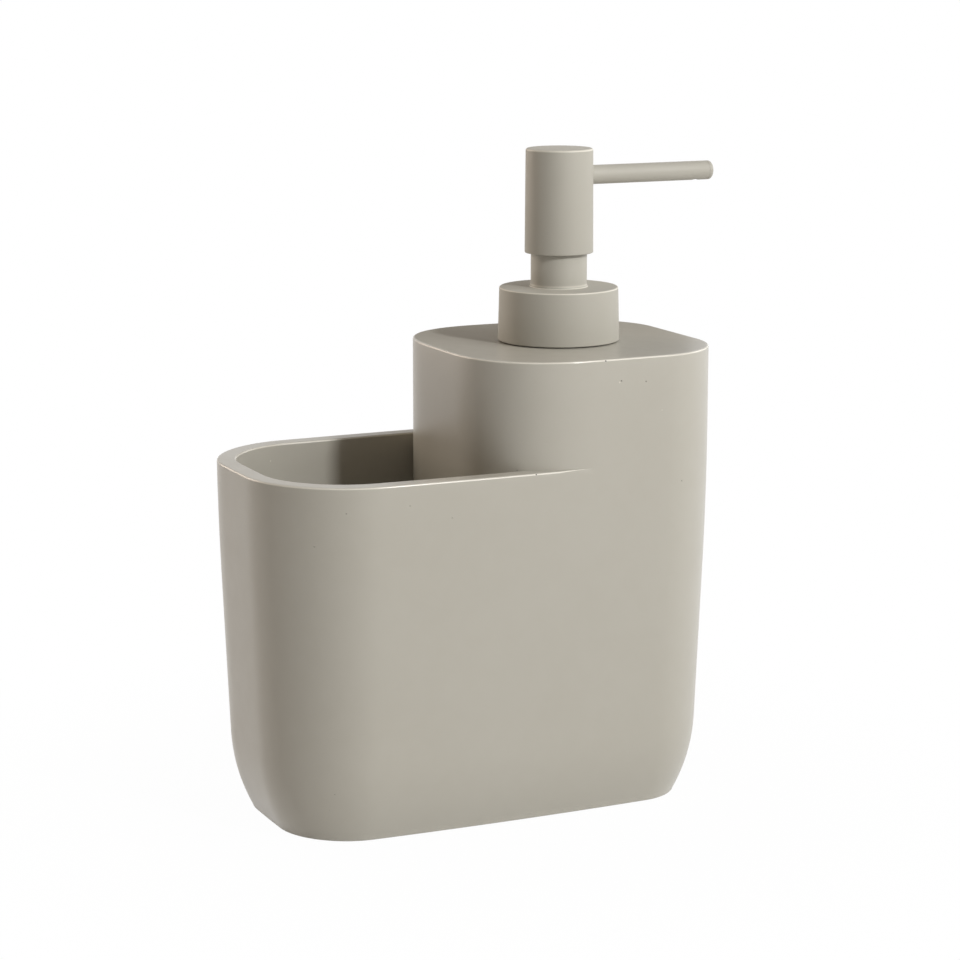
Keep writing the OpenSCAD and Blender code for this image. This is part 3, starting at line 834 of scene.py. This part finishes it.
def turned(profile, steps, axis="Z", centre=(0, 0, 0), rounds=()):
    """A turned piece: a closed profile of (radius, height) points is spun round an
    axis, then its ring edges are rounded. rounds holds (radius, height, rounding,
    segments)."""
    bm = bmesh.new()
    points = [bm.verts.new((r, 0, z)) for r, z in profile]
    pairs = [(points[i - 1], points[i]) for i in range(len(points))]
    edges = [bm.edges.new(pair) for pair in pairs if any(v.co.x for v in pair)]
    bmesh.ops.spin(
        bm,
        geom=points + edges,
        cent=(0, 0, 0),
        axis=(0, 0, 1),
        angle=math.tau,
        steps=steps,
        use_merge=True,
    )
    bmesh.ops.remove_doubles(bm, verts=bm.verts, dist=MERGE)
    bmesh.ops.dissolve_degenerate(bm, edges=bm.edges, dist=SLIVER)
    bmesh.ops.recalc_face_normals(bm, faces=bm.faces)

    def on_ring(v, r, z):
        away = math.hypot(v.co.x, v.co.y) - r
        return abs(v.co.z - z) < ON_RING and abs(away) < ON_RING

    for r, z, rounding, segments in rounds:
        ring = [e for e in bm.edges if all(on_ring(v, r, z) for v in e.verts)]
        if not ring:
            raise RuntimeError(f"no ring edge at radius {r}, height {z}")
        bmesh.ops.bevel(
            bm,
            geom=ring,
            affect="EDGES",
            offset=rounding,
            segments=segments,
            profile=0.5,
            material=-1,
            clamp_overlap=False,
        )
    if axis == "X":
        bmesh.ops.rotate(
            bm, verts=bm.verts, cent=(0, 0, 0), matrix=Matrix.Rotation(math.pi / 2, 3, "Y")
        )
    bmesh.ops.translate(bm, verts=bm.verts, vec=centre)
    return bm


def drill(bm, radius, depth, place, direction):
    """Cuts a round hole into a bmesh: the centre of its open end, its direction."""
    cutter = bmesh.new()
    bmesh.ops.create_cone(
        cutter,
        cap_ends=True,
        segments=DRILL_STEPS,
        radius1=radius,
        radius2=radius,
        depth=depth,
        matrix=Matrix.Translation((0, 0, depth / 2)),
    )
    turn = Vector(direction).to_track_quat("Z", "Y").to_matrix().to_4x4()
    bmesh.ops.transform(
        cutter, verts=cutter.verts, matrix=Matrix.Translation(place) @ turn
    )
    objects = []
    for name, source in (("drilled", bm), ("cutter", cutter)):
        mesh = bpy.data.meshes.new(name)
        source.to_mesh(mesh)
        source.free()
        objects.append(bpy.data.objects.new(name, mesh))
        bpy.context.scene.collection.objects.link(objects[-1])
    cut = objects[0].modifiers.new("Hole", "BOOLEAN")
    cut.operation = "DIFFERENCE"
    cut.solver = "EXACT"
    cut.object = objects[1]
    made = bmesh.new()
    made.from_object(objects[0], bpy.context.evaluated_depsgraph_get())
    for o in objects:
        mesh = o.data
        bpy.data.objects.remove(o)
        bpy.data.meshes.remove(mesh)
    return made


def collar_cover(s):
    """The drawn cover of the closure, with a bead that coves up to the sleeve."""
    bead_z = s.collar_top + s.bead
    lip = s.hole + s.bead_lip
    turns = [(1, 0), *quarter(6)]
    cove = [(lip + s.bead * (1 - cos), bead_z - s.bead * sin) for cos, sin in turns]
    return turned(
        (
            (s.collar_inside, s.collar_foot),
            (s.collar_radius, s.collar_foot),
            (s.collar_top_radius, s.collar_top),
            *reversed(cove),
            (s.hole, bead_z),
            (s.hole, s.collar_top - s.cover),
            (s.collar_inside, s.collar_top - s.cover),
        ),
        COLLAR_STEPS,
        centre=(s.axis_x, 0, 0),
        rounds=(
            (s.collar_top_radius, s.collar_top, s.collar_edge, 8),
            (s.collar_radius, s.collar_foot, COLLAR_FOOT_ROUNDING, 5),
        ),
    )


def neck_sleeve(s):
    """The fixed sleeve that the head slides over."""
    shoulder = s.sleeve_bottom + s.sleeve_foot_height
    flare_gap = 0.00004
    flare_z = s.collar_top + s.bead + flare_gap
    flare_shares = (0, 0.15, 0.3, 0.5, 0.75, 1)
    flare = [
        (s.sleeve_radius + s.flare * (1 - t) ** 2, flare_z + s.flare_height * t)
        for t in flare_shares
    ]
    return turned(
        (
            (s.sleeve_inside, s.sleeve_bottom),
            (s.sleeve_foot, s.sleeve_bottom),
            (s.sleeve_foot, shoulder),
            (s.sleeve_radius, shoulder),
            (s.sleeve_radius, flare_z - flare_gap / 2),
            *flare,
            (s.sleeve_radius, s.sleeve_top),
            (s.sleeve_inside, s.sleeve_top),
        ),
        SLEEVE_STEPS,
        centre=(s.axis_x, 0, 0),
        rounds=(
            (s.sleeve_radius, s.sleeve_top, SHELL_ROUNDING, 3),
            (s.sleeve_inside, s.sleeve_top, SHELL_ROUNDING, 3),
        ),
    )


def head_shell(s):
    """The drawn head: a cup with a slight dome and the spout's hole."""
    flat = s.head_top_radius - s.head_edge
    dome_shares = (0.8, 0.6, 0.4, 0.2, 0)
    dome = [(flat * u, s.head_top - s.head_dome * u * u) for u in dome_shares]
    under = s.head_top - s.shell
    edge_z = s.head_top - s.head_dome * (s.head_top_radius / flat) ** 2
    bm = turned(
        (
            (s.head_inside, s.head_bottom),
            (s.head_radius, s.head_bottom),
            (s.head_top_radius, edge_z),
            *dome,
            (0, under),
            (s.head_inside, under),
        ),
        COLLAR_STEPS,
        centre=(s.axis_x, 0, 0),
        rounds=(
            (s.head_top_radius, edge_z, s.head_edge, 8),
            (s.head_radius, s.head_bottom, SHELL_ROUNDING, 4),
            (s.head_inside, s.head_bottom, SHELL_ROUNDING, 4),
        ),
    )
    return drill(
        bm,
        s.spout_radius + s.spout_gap,
        s.head_radius * 2,
        (s.axis_x + s.spout_start, 0, s.spout_height),
        (1, 0, 0),
    )


def spout_tube(s):
    """The straight spout with the outlet in its underside."""
    bm = turned(
        (
            (s.spout_bore, s.spout_start),
            (s.spout_radius, s.spout_start),
            (s.spout_radius, s.spout_end),
            (s.spout_bore, s.spout_end),
        ),
        SPOUT_STEPS,
        axis="X",
        centre=(s.axis_x, 0, s.spout_height),
    )
    return drill(
        bm,
        s.outlet,
        s.spout_radius * 2,
        (s.axis_x + s.spout_reach - s.outlet_in, 0, s.spout_height),
        (0, 0, -1),
    )


def spout_plug(s):
    """The rounded end that closes the spout."""
    seat = s.spout_bore - FIT_GAP
    face = s.spout_end + FIT_GAP
    return turned(
        (
            (0, face - s.plug_shank),
            (seat, face - s.plug_shank),
            (seat, face),
            (s.spout_radius, face),
            (s.spout_radius, s.spout_reach),
            (0, s.spout_reach),
        ),
        SPOUT_STEPS,
        axis="X",
        centre=(s.axis_x, 0, s.spout_height),
        rounds=((s.spout_radius, s.spout_reach, s.plug_edge, 8),),
    )


def return_spring(s):
    """The wound spring: free turns between a closed turn at each end."""
    bm = bmesh.new()
    closed = CLOSED_PITCH * s.wire_radius
    ring = bmesh.ops.create_circle(
        bm,
        segments=12,
        radius=s.wire_radius,
        matrix=Matrix.Translation((s.spring_radius, 0, s.wire_radius))
        @ Matrix.Rotation(math.pi / 2, 4, "X"),
    )["verts"]
    chain = list(dict.fromkeys(e for v in ring for e in v.link_edges))
    first = chain
    steps = 40  # to a turn
    for turns, rise in ((1, closed), (s.spring_turns, s.spring_rise), (1, closed)):
        last = bmesh.ops.spin(
            bm,
            geom=chain,
            cent=(0, 0, 0),
            axis=(0, 0, 1),
            dvec=(0, 0, rise / (steps * turns)),
            angle=math.tau * turns,
            steps=steps * turns,
        )["geom_last"]
        chain = [g for g in last if isinstance(g, bmesh.types.BMEdge)]
    for end in (first, chain):
        bmesh.ops.contextual_create(bm, geom=end)
    bmesh.ops.translate(bm, verts=bm.verts, vec=(s.axis_x, 0, s.spring_foot))
    return bm


# Materials.


class Graph:
    """A small hand for building a node tree."""

    def __init__(self, tree):
        self.tree = tree

    def add(self, kind, *inputs, **settings):
        """Adds a node. Inputs are values or other nodes' sockets, by position or,
        in a dict, by name."""
        node = self.tree.nodes.new(kind)
        named = bool(inputs) and isinstance(inputs[0], dict)
        wanted = inputs[0] if named else dict(enumerate(inputs))
        for key, value in settings.items():
            setattr(node, key, value)
        for key, value in wanted.items():
            if value is None:
                continue
            if isinstance(value, bpy.types.NodeSocket):
                self.tree.links.new(value, node.inputs[key])
            else:
                node.inputs[key].default_value = value
        return node

    def math(self, operation, *inputs, clamp=False):
        node = self.add("ShaderNodeMath", *inputs, operation=operation)
        node.use_clamp = clamp
        return node.outputs[0]

    def ramp(self, value, low, high, out_low=0.0, out_high=1.0):
        """Maps a value smoothly from one range to another."""
        return self.add(
            "ShaderNodeMapRange",
            value,
            low,
            high,
            out_low,
            out_high,
            interpolation_type="SMOOTHSTEP",
        ).outputs[0]

    def mix(self, factor, a, b):
        """Blends two colours."""
        node = self.tree.nodes.new("ShaderNodeMix")
        node.data_type = "RGBA"
        for socket, value in ((0, factor), (6, a), (7, b)):
            if isinstance(value, bpy.types.NodeSocket):
                self.tree.links.new(value, node.inputs[socket])
            elif value is not None:
                node.inputs[socket].default_value = (
                    (*value, 1) if isinstance(value, tuple) else value
                )
        return node.outputs[2]


def shared_group(name, inputs, outputs, build):
    """A node group with named sockets, made once and used by several materials."""
    if name in bpy.data.node_groups:
        return bpy.data.node_groups[name]
    tree = bpy.data.node_groups.new(name, "ShaderNodeTree")
    for label, default in inputs:
        kind = "NodeSocketVector" if isinstance(default, tuple) else "NodeSocketFloat"
        socket = tree.interface.new_socket(label, in_out="INPUT", socket_type=kind)
        socket.default_value = default
    for label in outputs:
        tree.interface.new_socket(label, in_out="OUTPUT", socket_type="NodeSocketFloat")
    start = tree.nodes.new("NodeGroupInput")
    end = tree.nodes.new("NodeGroupOutput")
    results = build(Graph(tree), start.outputs)
    for label, result in zip(outputs, results):
        tree.links.new(result, end.inputs[label])
    return tree


def clouds_group():
    """Soft clouds of two sizes, from 0 to 1."""

    def build(g, given):
        wide = g.add(
            "ShaderNodeTexNoise",
            {"Vector": given["Vector"], "Scale": given["Scale"], "Detail": 3.0},
        )
        fine_scale = g.math("MULTIPLY", given["Scale"], 9.0)
        fine = g.add(
            "ShaderNodeTexNoise",
            {"Vector": given["Vector"], "Scale": fine_scale, "Detail": 4.0},
        )
        both = g.math(
            "ADD",
            g.math("MULTIPLY", wide.outputs[0], 0.65),
            g.math("MULTIPLY", fine.outputs[0], 0.35),
        )
        return (g.ramp(both, 0.34, 0.66),)

    return shared_group(
        "Clouds", (("Vector", (0.0, 0.0, 0.0)), ("Scale", 30.0)), ("Clouds",), build
    )


def grain_group():
    """A fine uneven surface: a height from 0 to 1."""

    def build(g, given):
        noise = g.add(
            "ShaderNodeTexNoise",
            {
                "Vector": given["Vector"],
                "Scale": given["Scale"],
                "Detail": 3.0,
                "Roughness": given["Roughness"],
            },
        )
        return (noise.outputs[0],)

    return shared_group(
        "Grain",
        (("Vector", (0.0, 0.0, 0.0)), ("Scale", 600.0), ("Roughness", 0.5)),
        ("Height",),
        build,
    )


def pinholes_group():
    """Sparse round pinholes of uneven size: 1 inside a hole, 0 outside."""

    def build(g, given):
        cells = g.add(
            "ShaderNodeTexVoronoi",
            {"Vector": given["Vector"], "Scale": given["Scale"], "Randomness": 1.0},
        )
        chance = g.add("ShaderNodeSeparateColor", cells.outputs["Color"]).outputs[0]
        size = g.math("MULTIPLY", g.math("POWER", chance, 3.0), given["Radius"])
        reach = g.math("MULTIPLY", size, given["Scale"])
        depth = g.math("SUBTRACT", reach, cells.outputs["Distance"])
        return (g.ramp(g.math("DIVIDE", depth, reach), 0.0, 0.35),)

    return shared_group(
        "Pinholes",
        (("Vector", (0.0, 0.0, 0.0)), ("Scale", 80.0), ("Radius", 0.0004)),
        ("Mask",),
        build,
    )


def mark_group():
    """One small mark round a point: 1 at its middle, 0 outside."""

    def build(g, given):
        wobble = g.add(
            "ShaderNodeTexNoise", {"Vector": given["Vector"], "Scale": 3000.0}
        ).outputs[0]
        away = g.add(
            "ShaderNodeVectorMath",
            given["Vector"],
            given["Centre"],
            operation="DISTANCE",
        ).outputs["Value"]
        share_out = g.math("DIVIDE", away, given["Radius"])
        uneven = g.math("ADD", share_out, g.math("MULTIPLY", wobble, 0.6))
        return (g.ramp(uneven, 0.75, 1.3, 1.0, 0.0),)

    return shared_group(
        "Mark",
        (("Vector", (0.0, 0.0, 0.0)), ("Centre", (0.0, 0.0, 0.0)), ("Radius", 0.0004)),
        ("Mask",),
        build,
    )


def new_material(name, rgb, roughness, **extra):
    """A material with its Principled shader: (material, graph, shader, coordinates)."""
    material = bpy.data.materials.new(name)
    material.use_nodes = True
    graph = Graph(material.node_tree)
    shader = material.node_tree.nodes["Principled BSDF"]
    shader.inputs["Base Color"].default_value = (*rgb, 1)
    shader.inputs["Roughness"].default_value = roughness
    for key, value in extra.items():
        shader.inputs[key.replace("_", " ")].default_value = value
    where = graph.add("ShaderNodeTexCoord").outputs["Object"]
    return material, graph, shader, where


def use_group(graph, group, inputs):
    """Places a node group in a material with its own values. Returns its output."""
    node = graph.tree.nodes.new("ShaderNodeGroup")
    node.node_tree = group
    for key, value in inputs.items():
        if isinstance(value, bpy.types.NodeSocket):
            graph.tree.links.new(value, node.inputs[key])
        else:
            node.inputs[key].default_value = value
    return node.outputs[0]


def add_bump(graph, shader, height, distance):
    bump = graph.add(
        "ShaderNodeBump", {"Height": height, "Distance": distance, "Strength": 1.0}
    )
    graph.tree.links.new(bump.outputs[0], shader.inputs["Normal"])


# Small casting marks on the body, in millimetres: their place, their radius and their
# tone, which is below 1 for a pinhole darkened with painted shade and above 1 for a
# lighter speck.
MARKS = (
    ((25.3, -38.3, 124.3), 0.34, 0.45),
    ((24.8, -38.3, 123.9), 0.30, 1.35),
    ((33.0, -38.1, 123.6), 0.28, 0.5),
    ((38.2, -37.9, 115.3), 0.22, 1.25),
    ((9.4, -38.2, 120.7), 0.24, 0.75),
    ((3.3, -36.5, 128.5), 0.24, 0.75),
    ((20.4, -38.3, 130.1), 0.30, 0.3),
    ((-0.5, -38.5, 100.4), 0.30, 0.35),
    ((-3.4, -32.4, 100.7), 0.25, 0.6),
    ((-25.4, -38.3, 90.6), 0.24, 0.75),
    ((-37.6, -38.1, 94.9), 0.24, 0.75),
    ((-54.9, -35.7, 93.8), 0.26, 0.7),
    ((-62.3, -31.1, 84.6), 0.26, 0.7),
    ((45.2, -36.9, 94.6), 0.28, 0.7),
    ((-50.9, 31.4, 96.1), 0.34, 1.3),
)


def cast_resin(look):
    """Matt cast resin: soft clouds, casting marks, pinholes with painted shade and rounded
    upper edges paled as a painted highlight.
    """
    material, g, shader, where = new_material(
        "cast_resin", look.cast, look.cast_roughness
    )
    clouds = use_group(g, clouds_group(), {"Vector": where, "Scale": 22.0})
    holes = use_group(
        g, pinholes_group(), {"Vector": where, "Scale": 75.0, "Radius": 0.0004}
    )
    surface = g.mix(
        g.math("MULTIPLY", clouds, 0.3), tuple(look.cast), tuple(look.cast_deep)
    )
    # Painted highlight: the rounded upper edges are paled towards a lighter colour.
    edge_highlight = g.add("ShaderNodeAttribute", attribute_name="edge").outputs["Fac"]
    pale = tuple(min(1, look.edge_gain * c) for c in look.cast)
    surface = g.mix(edge_highlight, surface, pale)
    # The pinholes are real pits, sunk in the bump below; their dark colour is painted
    # shade.
    dark = tuple(0.3 * c for c in look.cast_deep)
    surface = g.mix(holes, surface, dark)
    pits = holes
    # Marks below tone 1 are pinholes, darkened with painted shade and sunk in the bump;
    # the others are lighter specks.
    for place, radius, tone in MARKS:
        centre = tuple(c / 1000 for c in place)
        mark = use_group(
            g, mark_group(), {"Vector": where, "Centre": centre, "Radius": radius / 1000}
        )
        surface = g.mix(mark, surface, tuple(tone * c for c in look.cast))
        if tone < 1:
            pits = g.math("MAXIMUM", pits, mark)
    g.tree.links.new(surface, shader.inputs["Base Color"])
    rough = g.ramp(clouds, 0, 1, look.cast_roughness - 0.02, look.cast_roughness + 0.03)
    rough = g.math("SUBTRACT", rough, g.math("MULTIPLY", edge_highlight, look.edge_polish))
    g.tree.links.new(rough, shader.inputs["Roughness"])
    grain = use_group(g, grain_group(), {"Vector": where, "Scale": 900.0})
    height = g.math(
        "SUBTRACT", g.math("MULTIPLY", grain, 0.05), g.math("MULTIPLY", pits, 1.0)
    )
    add_bump(g, shader, height, distance=0.00012)
    return material


def satin_coating(look):
    """The pump's satin coating, smoother on its rounded upper edges, which a painted
    highlight makes paler.
    """
    material, g, shader, where = new_material(
        "satin_coating", look.coat, look.coat_roughness, Specular_IOR_Level=0.4
    )
    clouds = use_group(g, clouds_group(), {"Vector": where, "Scale": 60.0})
    # Painted highlight: the rounded upper edges are paled towards a lighter colour.
    edge_highlight = g.add("ShaderNodeAttribute", attribute_name="edge").outputs["Fac"]
    pale = tuple(min(1, look.edge_gain * c) for c in look.coat)
    g.tree.links.new(g.mix(edge_highlight, tuple(look.coat), pale), shader.inputs["Base Color"])
    rough = g.ramp(clouds, 0, 1, look.coat_roughness - 0.03, look.coat_roughness + 0.03)
    rough = g.math("SUBTRACT", rough, g.math("MULTIPLY", edge_highlight, look.edge_polish))
    g.tree.links.new(rough, shader.inputs["Roughness"])
    grain = use_group(g, grain_group(), {"Vector": where, "Scale": 1500.0})
    add_bump(g, shader, grain, distance=0.000006)
    return material


def moulded_plastic(look):
    """Natural plastic, which lets a little light in."""
    material, g, shader, where = new_material(
        "moulded_plastic", look.natural, 0.42, Subsurface_Weight=0.1
    )
    shader.inputs["Subsurface Radius"].default_value = (0.002, 0.002, 0.002)
    shader.inputs["Subsurface Scale"].default_value = 1.0
    grain = use_group(g, grain_group(), {"Vector": where, "Scale": 900.0})
    add_bump(g, shader, grain, distance=0.00001)
    return material


def soft_rubber(look):
    """Dull dark rubber with a fine grain."""
    material, g, shader, where = new_material("soft_rubber", look.rubber, 0.7)
    grain = use_group(
        g, grain_group(), {"Vector": where, "Scale": 1500.0, "Roughness": 0.7}
    )
    rough = g.ramp(grain, 0.3, 0.7, 0.6, 0.8)
    g.tree.links.new(rough, shader.inputs["Roughness"])
    add_bump(g, shader, grain, distance=0.00004)
    return material


def bright_steel(look):
    """Drawn or ground stainless steel."""
    material, g, shader, where = new_material(
        "bright_steel", look.steel, 0.22, Metallic=1.0
    )
    grain = use_group(g, grain_group(), {"Vector": where, "Scale": 2500.0})
    rough = g.ramp(grain, 0.3, 0.7, 0.16, 0.28)
    g.tree.links.new(rough, shader.inputs["Roughness"])
    add_bump(g, shader, grain, distance=0.000004)
    return material


MATERIALS = {
    "cast_body": cast_resin,
    "pump_coating": satin_coating,
    "moulded": moulded_plastic,
    "seal": soft_rubber,
    "pad": soft_rubber,
    "steel": bright_steel,
}


def material_for(slot):
    """The material of a slot, made at its first use."""
    make = MATERIALS[slot]
    if make.__name__ not in bpy.data.materials:
        make(bpy.context.scene.caddy_finish)
    return bpy.data.materials[make.__name__]


# Operators.


class CADDY_OT_cast_body(bpy.types.Operator):
    """Model the cast body with its pocket and reservoir"""

    bl_idname = "caddy.cast_body"
    bl_label = "Cast body"

    def execute(self, context):
        scene = context.scene
        finish_piece(
            cast_body(scene.caddy_body, scene.caddy_pump.axis_x),
            "cast_body",
            "caddy",
            ["caddy_body"],
            "cast_body",
        )
        return {"FINISHED"}


class CADDY_OT_collar(bpy.types.Operator):
    """Model the collar's cover and the sleeve that stands in it"""

    bl_idname = "caddy.collar"
    bl_label = "Collar and sleeve"

    def execute(self, context):
        s = context.scene.caddy_pump
        finish_piece(collar_cover(s), "collar", "collar", ["collar_cover"], "pump_coating")
        finish_piece(neck_sleeve(s), "sleeve", "pump", ["neck_sleeve"], "pump_coating")
        return {"FINISHED"}


class CADDY_OT_head(bpy.types.Operator):
    """Model the pump's head"""

    bl_idname = "caddy.head"
    bl_label = "Head"

    def execute(self, context):
        s = context.scene.caddy_pump
        finish_piece(head_shell(s), "head", "head", ["head_shell"], "pump_coating")
        return {"FINISHED"}


class CADDY_OT_spout(bpy.types.Operator):
    """Model the spout and the rounded end that closes it"""

    bl_idname = "caddy.spout"
    bl_label = "Spout"

    def execute(self, context):
        s = context.scene.caddy_pump
        for bm, name, node in (
            (spout_tube(s), "spout", "spout_tube"),
            (spout_plug(s), "spout_end", "spout_plug"),
        ):
            # The spout and its end get no painted edge highlight.
            finish_piece(bm, name, "head", [node], "pump_coating", painted_edge_highlight=False)
        return {"FINISHED"}


class CADDY_OT_spring(bpy.types.Operator):
    """Model the return spring, built at one length with a mesh of its own"""

    bl_idname = "caddy.spring"
    bl_label = "Return spring"

    def execute(self, context):
        s = context.scene.caddy_pump
        piece = finish_piece(
            return_spring(s), "spring", "pump", ["return_spring"], "steel"
        )
        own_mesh(piece)
        return {"FINISHED"}


class CADDY_OT_inner_pieces(bpy.types.Operator):
    """Give the pad and the pump's hidden pieces their materials"""

    bl_idname = "caddy.inner_pieces"
    bl_label = "Pad and hidden pieces"

    def execute(self, context):
        slots = {
            part["node"]: part["material_slot"] for part in frame["record"]["subparts"]
        }
        for name, node in frame["nodes"].items():
            if node.hide_render:
                continue
            node.data.materials.clear()
            node.data.materials.append(material_for(slots[name]))
        return {"FINISHED"}


class CADDY_OT_stage(bpy.types.Operator):
    """Set up the camera, the floor, the lamps and the room"""

    bl_idname = "caddy.stage"
    bl_label = "Stage"

    def execute(self, context):
        scene, look = context.scene, context.scene.caddy_stage
        data = bpy.data.cameras.new("camera")
        data.lens = look.lens
        data.sensor_width = 36
        data.clip_start = 0.05
        data.clip_end = 50
        camera = bpy.data.objects.new("camera", data)
        scene.collection.objects.link(camera)
        camera.location = look.camera_place
        ahead = Vector(look.camera_aim).normalized()
        camera.rotation_mode = "QUATERNION"
        camera.rotation_quaternion = ahead.to_track_quat("-Z", "Y")
        scene.camera = camera
        scene.view_settings.view_transform = "Standard"
        self.lamps(scene, look)
        self.floor(scene, look)
        self.flag(scene, look)
        self.room(scene, look)
        return {"FINISHED"}

    def lamps(self, scene, look):
        """Square lamps all round the object's middle, turned to it: name, power,
        bearing to the right of the front and height in degrees, side length."""
        middle, away = Vector((0, 0, 0.09)), 1.6
        for name, power, bearing, height, size in (
            ("key", look.key * (1 - look.key_core), 38, 31, 1.0),
            ("key_core", look.key * look.key_core, 20, 31, 0.12),
            ("side", look.side, 100, 20, 1.0),
            ("fill", look.fill, -147, 18, 1.0),
            ("top", look.top, 50, 54, 0.3),
        ):
            data = bpy.data.lights.new(name, "AREA")
            data.shape = "SQUARE"
            data.size = size
            data.energy = power
            if name == "fill":
                data.color = look.warm
            lamp = bpy.data.objects.new(name, data)
            scene.collection.objects.link(lamp)
            a, e = math.radians(bearing), math.radians(height)
            towards = Vector(
                (math.sin(a) * math.cos(e), -math.cos(a) * math.cos(e), math.sin(e))
            )
            lamp.location = middle + towards * away
            lamp.rotation_mode = "QUATERNION"
            lamp.rotation_quaternion = towards.to_track_quat("Z", "Y")

    def in_view(self, g):
        """1 where the camera sees the stage, straight or in a mirror or a glass."""
        path = g.add("ShaderNodeLightPath").outputs
        through = g.math(
            "MAXIMUM", path["Is Glossy Ray"], path["Is Transmission Ray"]
        )
        return g.math("MAXIMUM", path["Is Camera Ray"], through)

    def floor(self, scene, look):
        """A wide pale floor that fades to white in view, away from the object."""
        fade_start, fade_end = 0.05, 0.2
        bm = bmesh.new()
        bmesh.ops.create_grid(bm, x_segments=1, y_segments=1, size=6)
        mesh = bpy.data.meshes.new("floor")
        bm.to_mesh(mesh)
        bm.free()
        floor = bpy.data.objects.new("floor", mesh)
        scene.collection.objects.link(floor)
        material, g, shader, where = new_material("floor", look.floor, 0.9)
        tree = material.node_tree
        white = g.add("ShaderNodeEmission", (1, 1, 1, 1), 1.0)
        away = g.add("ShaderNodeVectorMath", where, operation="LENGTH").outputs["Value"]
        fade = g.ramp(away, fade_start, fade_end, look.floor_fade, 1.0)
        seen = g.math("MULTIPLY", self.in_view(g), fade)
        blend = g.add(
            "ShaderNodeMixShader", seen, shader.outputs[0], white.outputs[0]
        )
        tree.links.new(
            blend.outputs[0], tree.nodes["Material Output"].inputs["Surface"]
        )
        mesh.materials.append(material)

    def flag(self, scene, look):
        """A grey card out of view behind the tall end, which only the body's and the
        collar's satin tops mirror."""
        bm = bmesh.new()
        bmesh.ops.create_cube(bm, size=1)
        bmesh.ops.scale(bm, verts=bm.verts, vec=look.flag_size)
        mesh = bpy.data.meshes.new("flag")
        bm.to_mesh(mesh)
        bm.free()
        flag = bpy.data.objects.new("flag", mesh)
        scene.collection.objects.link(flag)
        flag.location = look.flag_place
        flag.rotation_euler = (0, 0, -math.atan2(look.camera_aim[0], look.camera_aim[1]))
        flag.visible_camera = False
        flag.visible_diffuse = False
        flag.visible_shadow = False
        flag.visible_transmission = False
        mesh.materials.append(new_material("flag", look.flag, 0.9)[0])

    def room(self, scene, look):
        """A faint warm light from all round, which is white in view."""
        world = bpy.data.worlds.new("room")
        scene.world = world
        world.use_nodes = True
        tree = world.node_tree
        g = Graph(tree)
        seen = self.in_view(g)
        level = g.math("MAXIMUM", seen, look.ambient)
        tint = g.mix(seen, tuple(look.warm), (1.0, 1.0, 1.0))
        background = tree.nodes["Background"]
        tree.links.new(tint, background.inputs["Color"])
        tree.links.new(level, background.inputs["Strength"])


class CADDY_PT_panel(bpy.types.Panel):
    """Lists the caddy's pieces and their properties"""

    bl_idname = "CADDY_PT_panel"
    bl_label = "Soap Pump Caddy"
    bl_space_type = "VIEW_3D"
    bl_region_type = "UI"
    bl_category = "Caddy"

    def draw(self, context):
        for operator in OPERATORS:
            self.layout.operator(operator.bl_idname)
        for name in SETTINGS:
            box = self.layout.box()
            settings = getattr(context.scene, name)
            box.label(text=settings.bl_rna.name)
            for key in settings.__annotations__:
                box.prop(settings, key)


OPERATORS = (
    CADDY_OT_cast_body,
    CADDY_OT_collar,
    CADDY_OT_head,
    CADDY_OT_spout,
    CADDY_OT_spring,
    CADDY_OT_inner_pieces,
    CADDY_OT_stage,
)
SETTINGS = {
    "caddy_body": CastBodySizes,
    "caddy_pump": PumpSizes,
    "caddy_finish": Finishes,
    "caddy_stage": StageLook,
}


def register():
    for cls in (*SETTINGS.values(), *OPERATORS, CADDY_PT_panel):
        bpy.utils.register_class(cls)
    for name, cls in SETTINGS.items():
        setattr(bpy.types.Scene, name, PointerProperty(type=cls))


def unregister():
    for name in SETTINGS:
        delattr(bpy.types.Scene, name)
    for cls in (CADDY_PT_panel, *reversed(OPERATORS), *SETTINGS.values()):
        bpy.utils.unregister_class(cls)


def main():
    register()
    bpy.ops.caddy.cast_body()
    bpy.ops.caddy.collar()
    bpy.ops.caddy.head()
    bpy.ops.caddy.spout()
    bpy.ops.caddy.spring()
    bpy.ops.caddy.inner_pieces()
    bpy.ops.caddy.stage()
    bpy.context.view_layer.update()


if __name__ == "__main__":
    main()
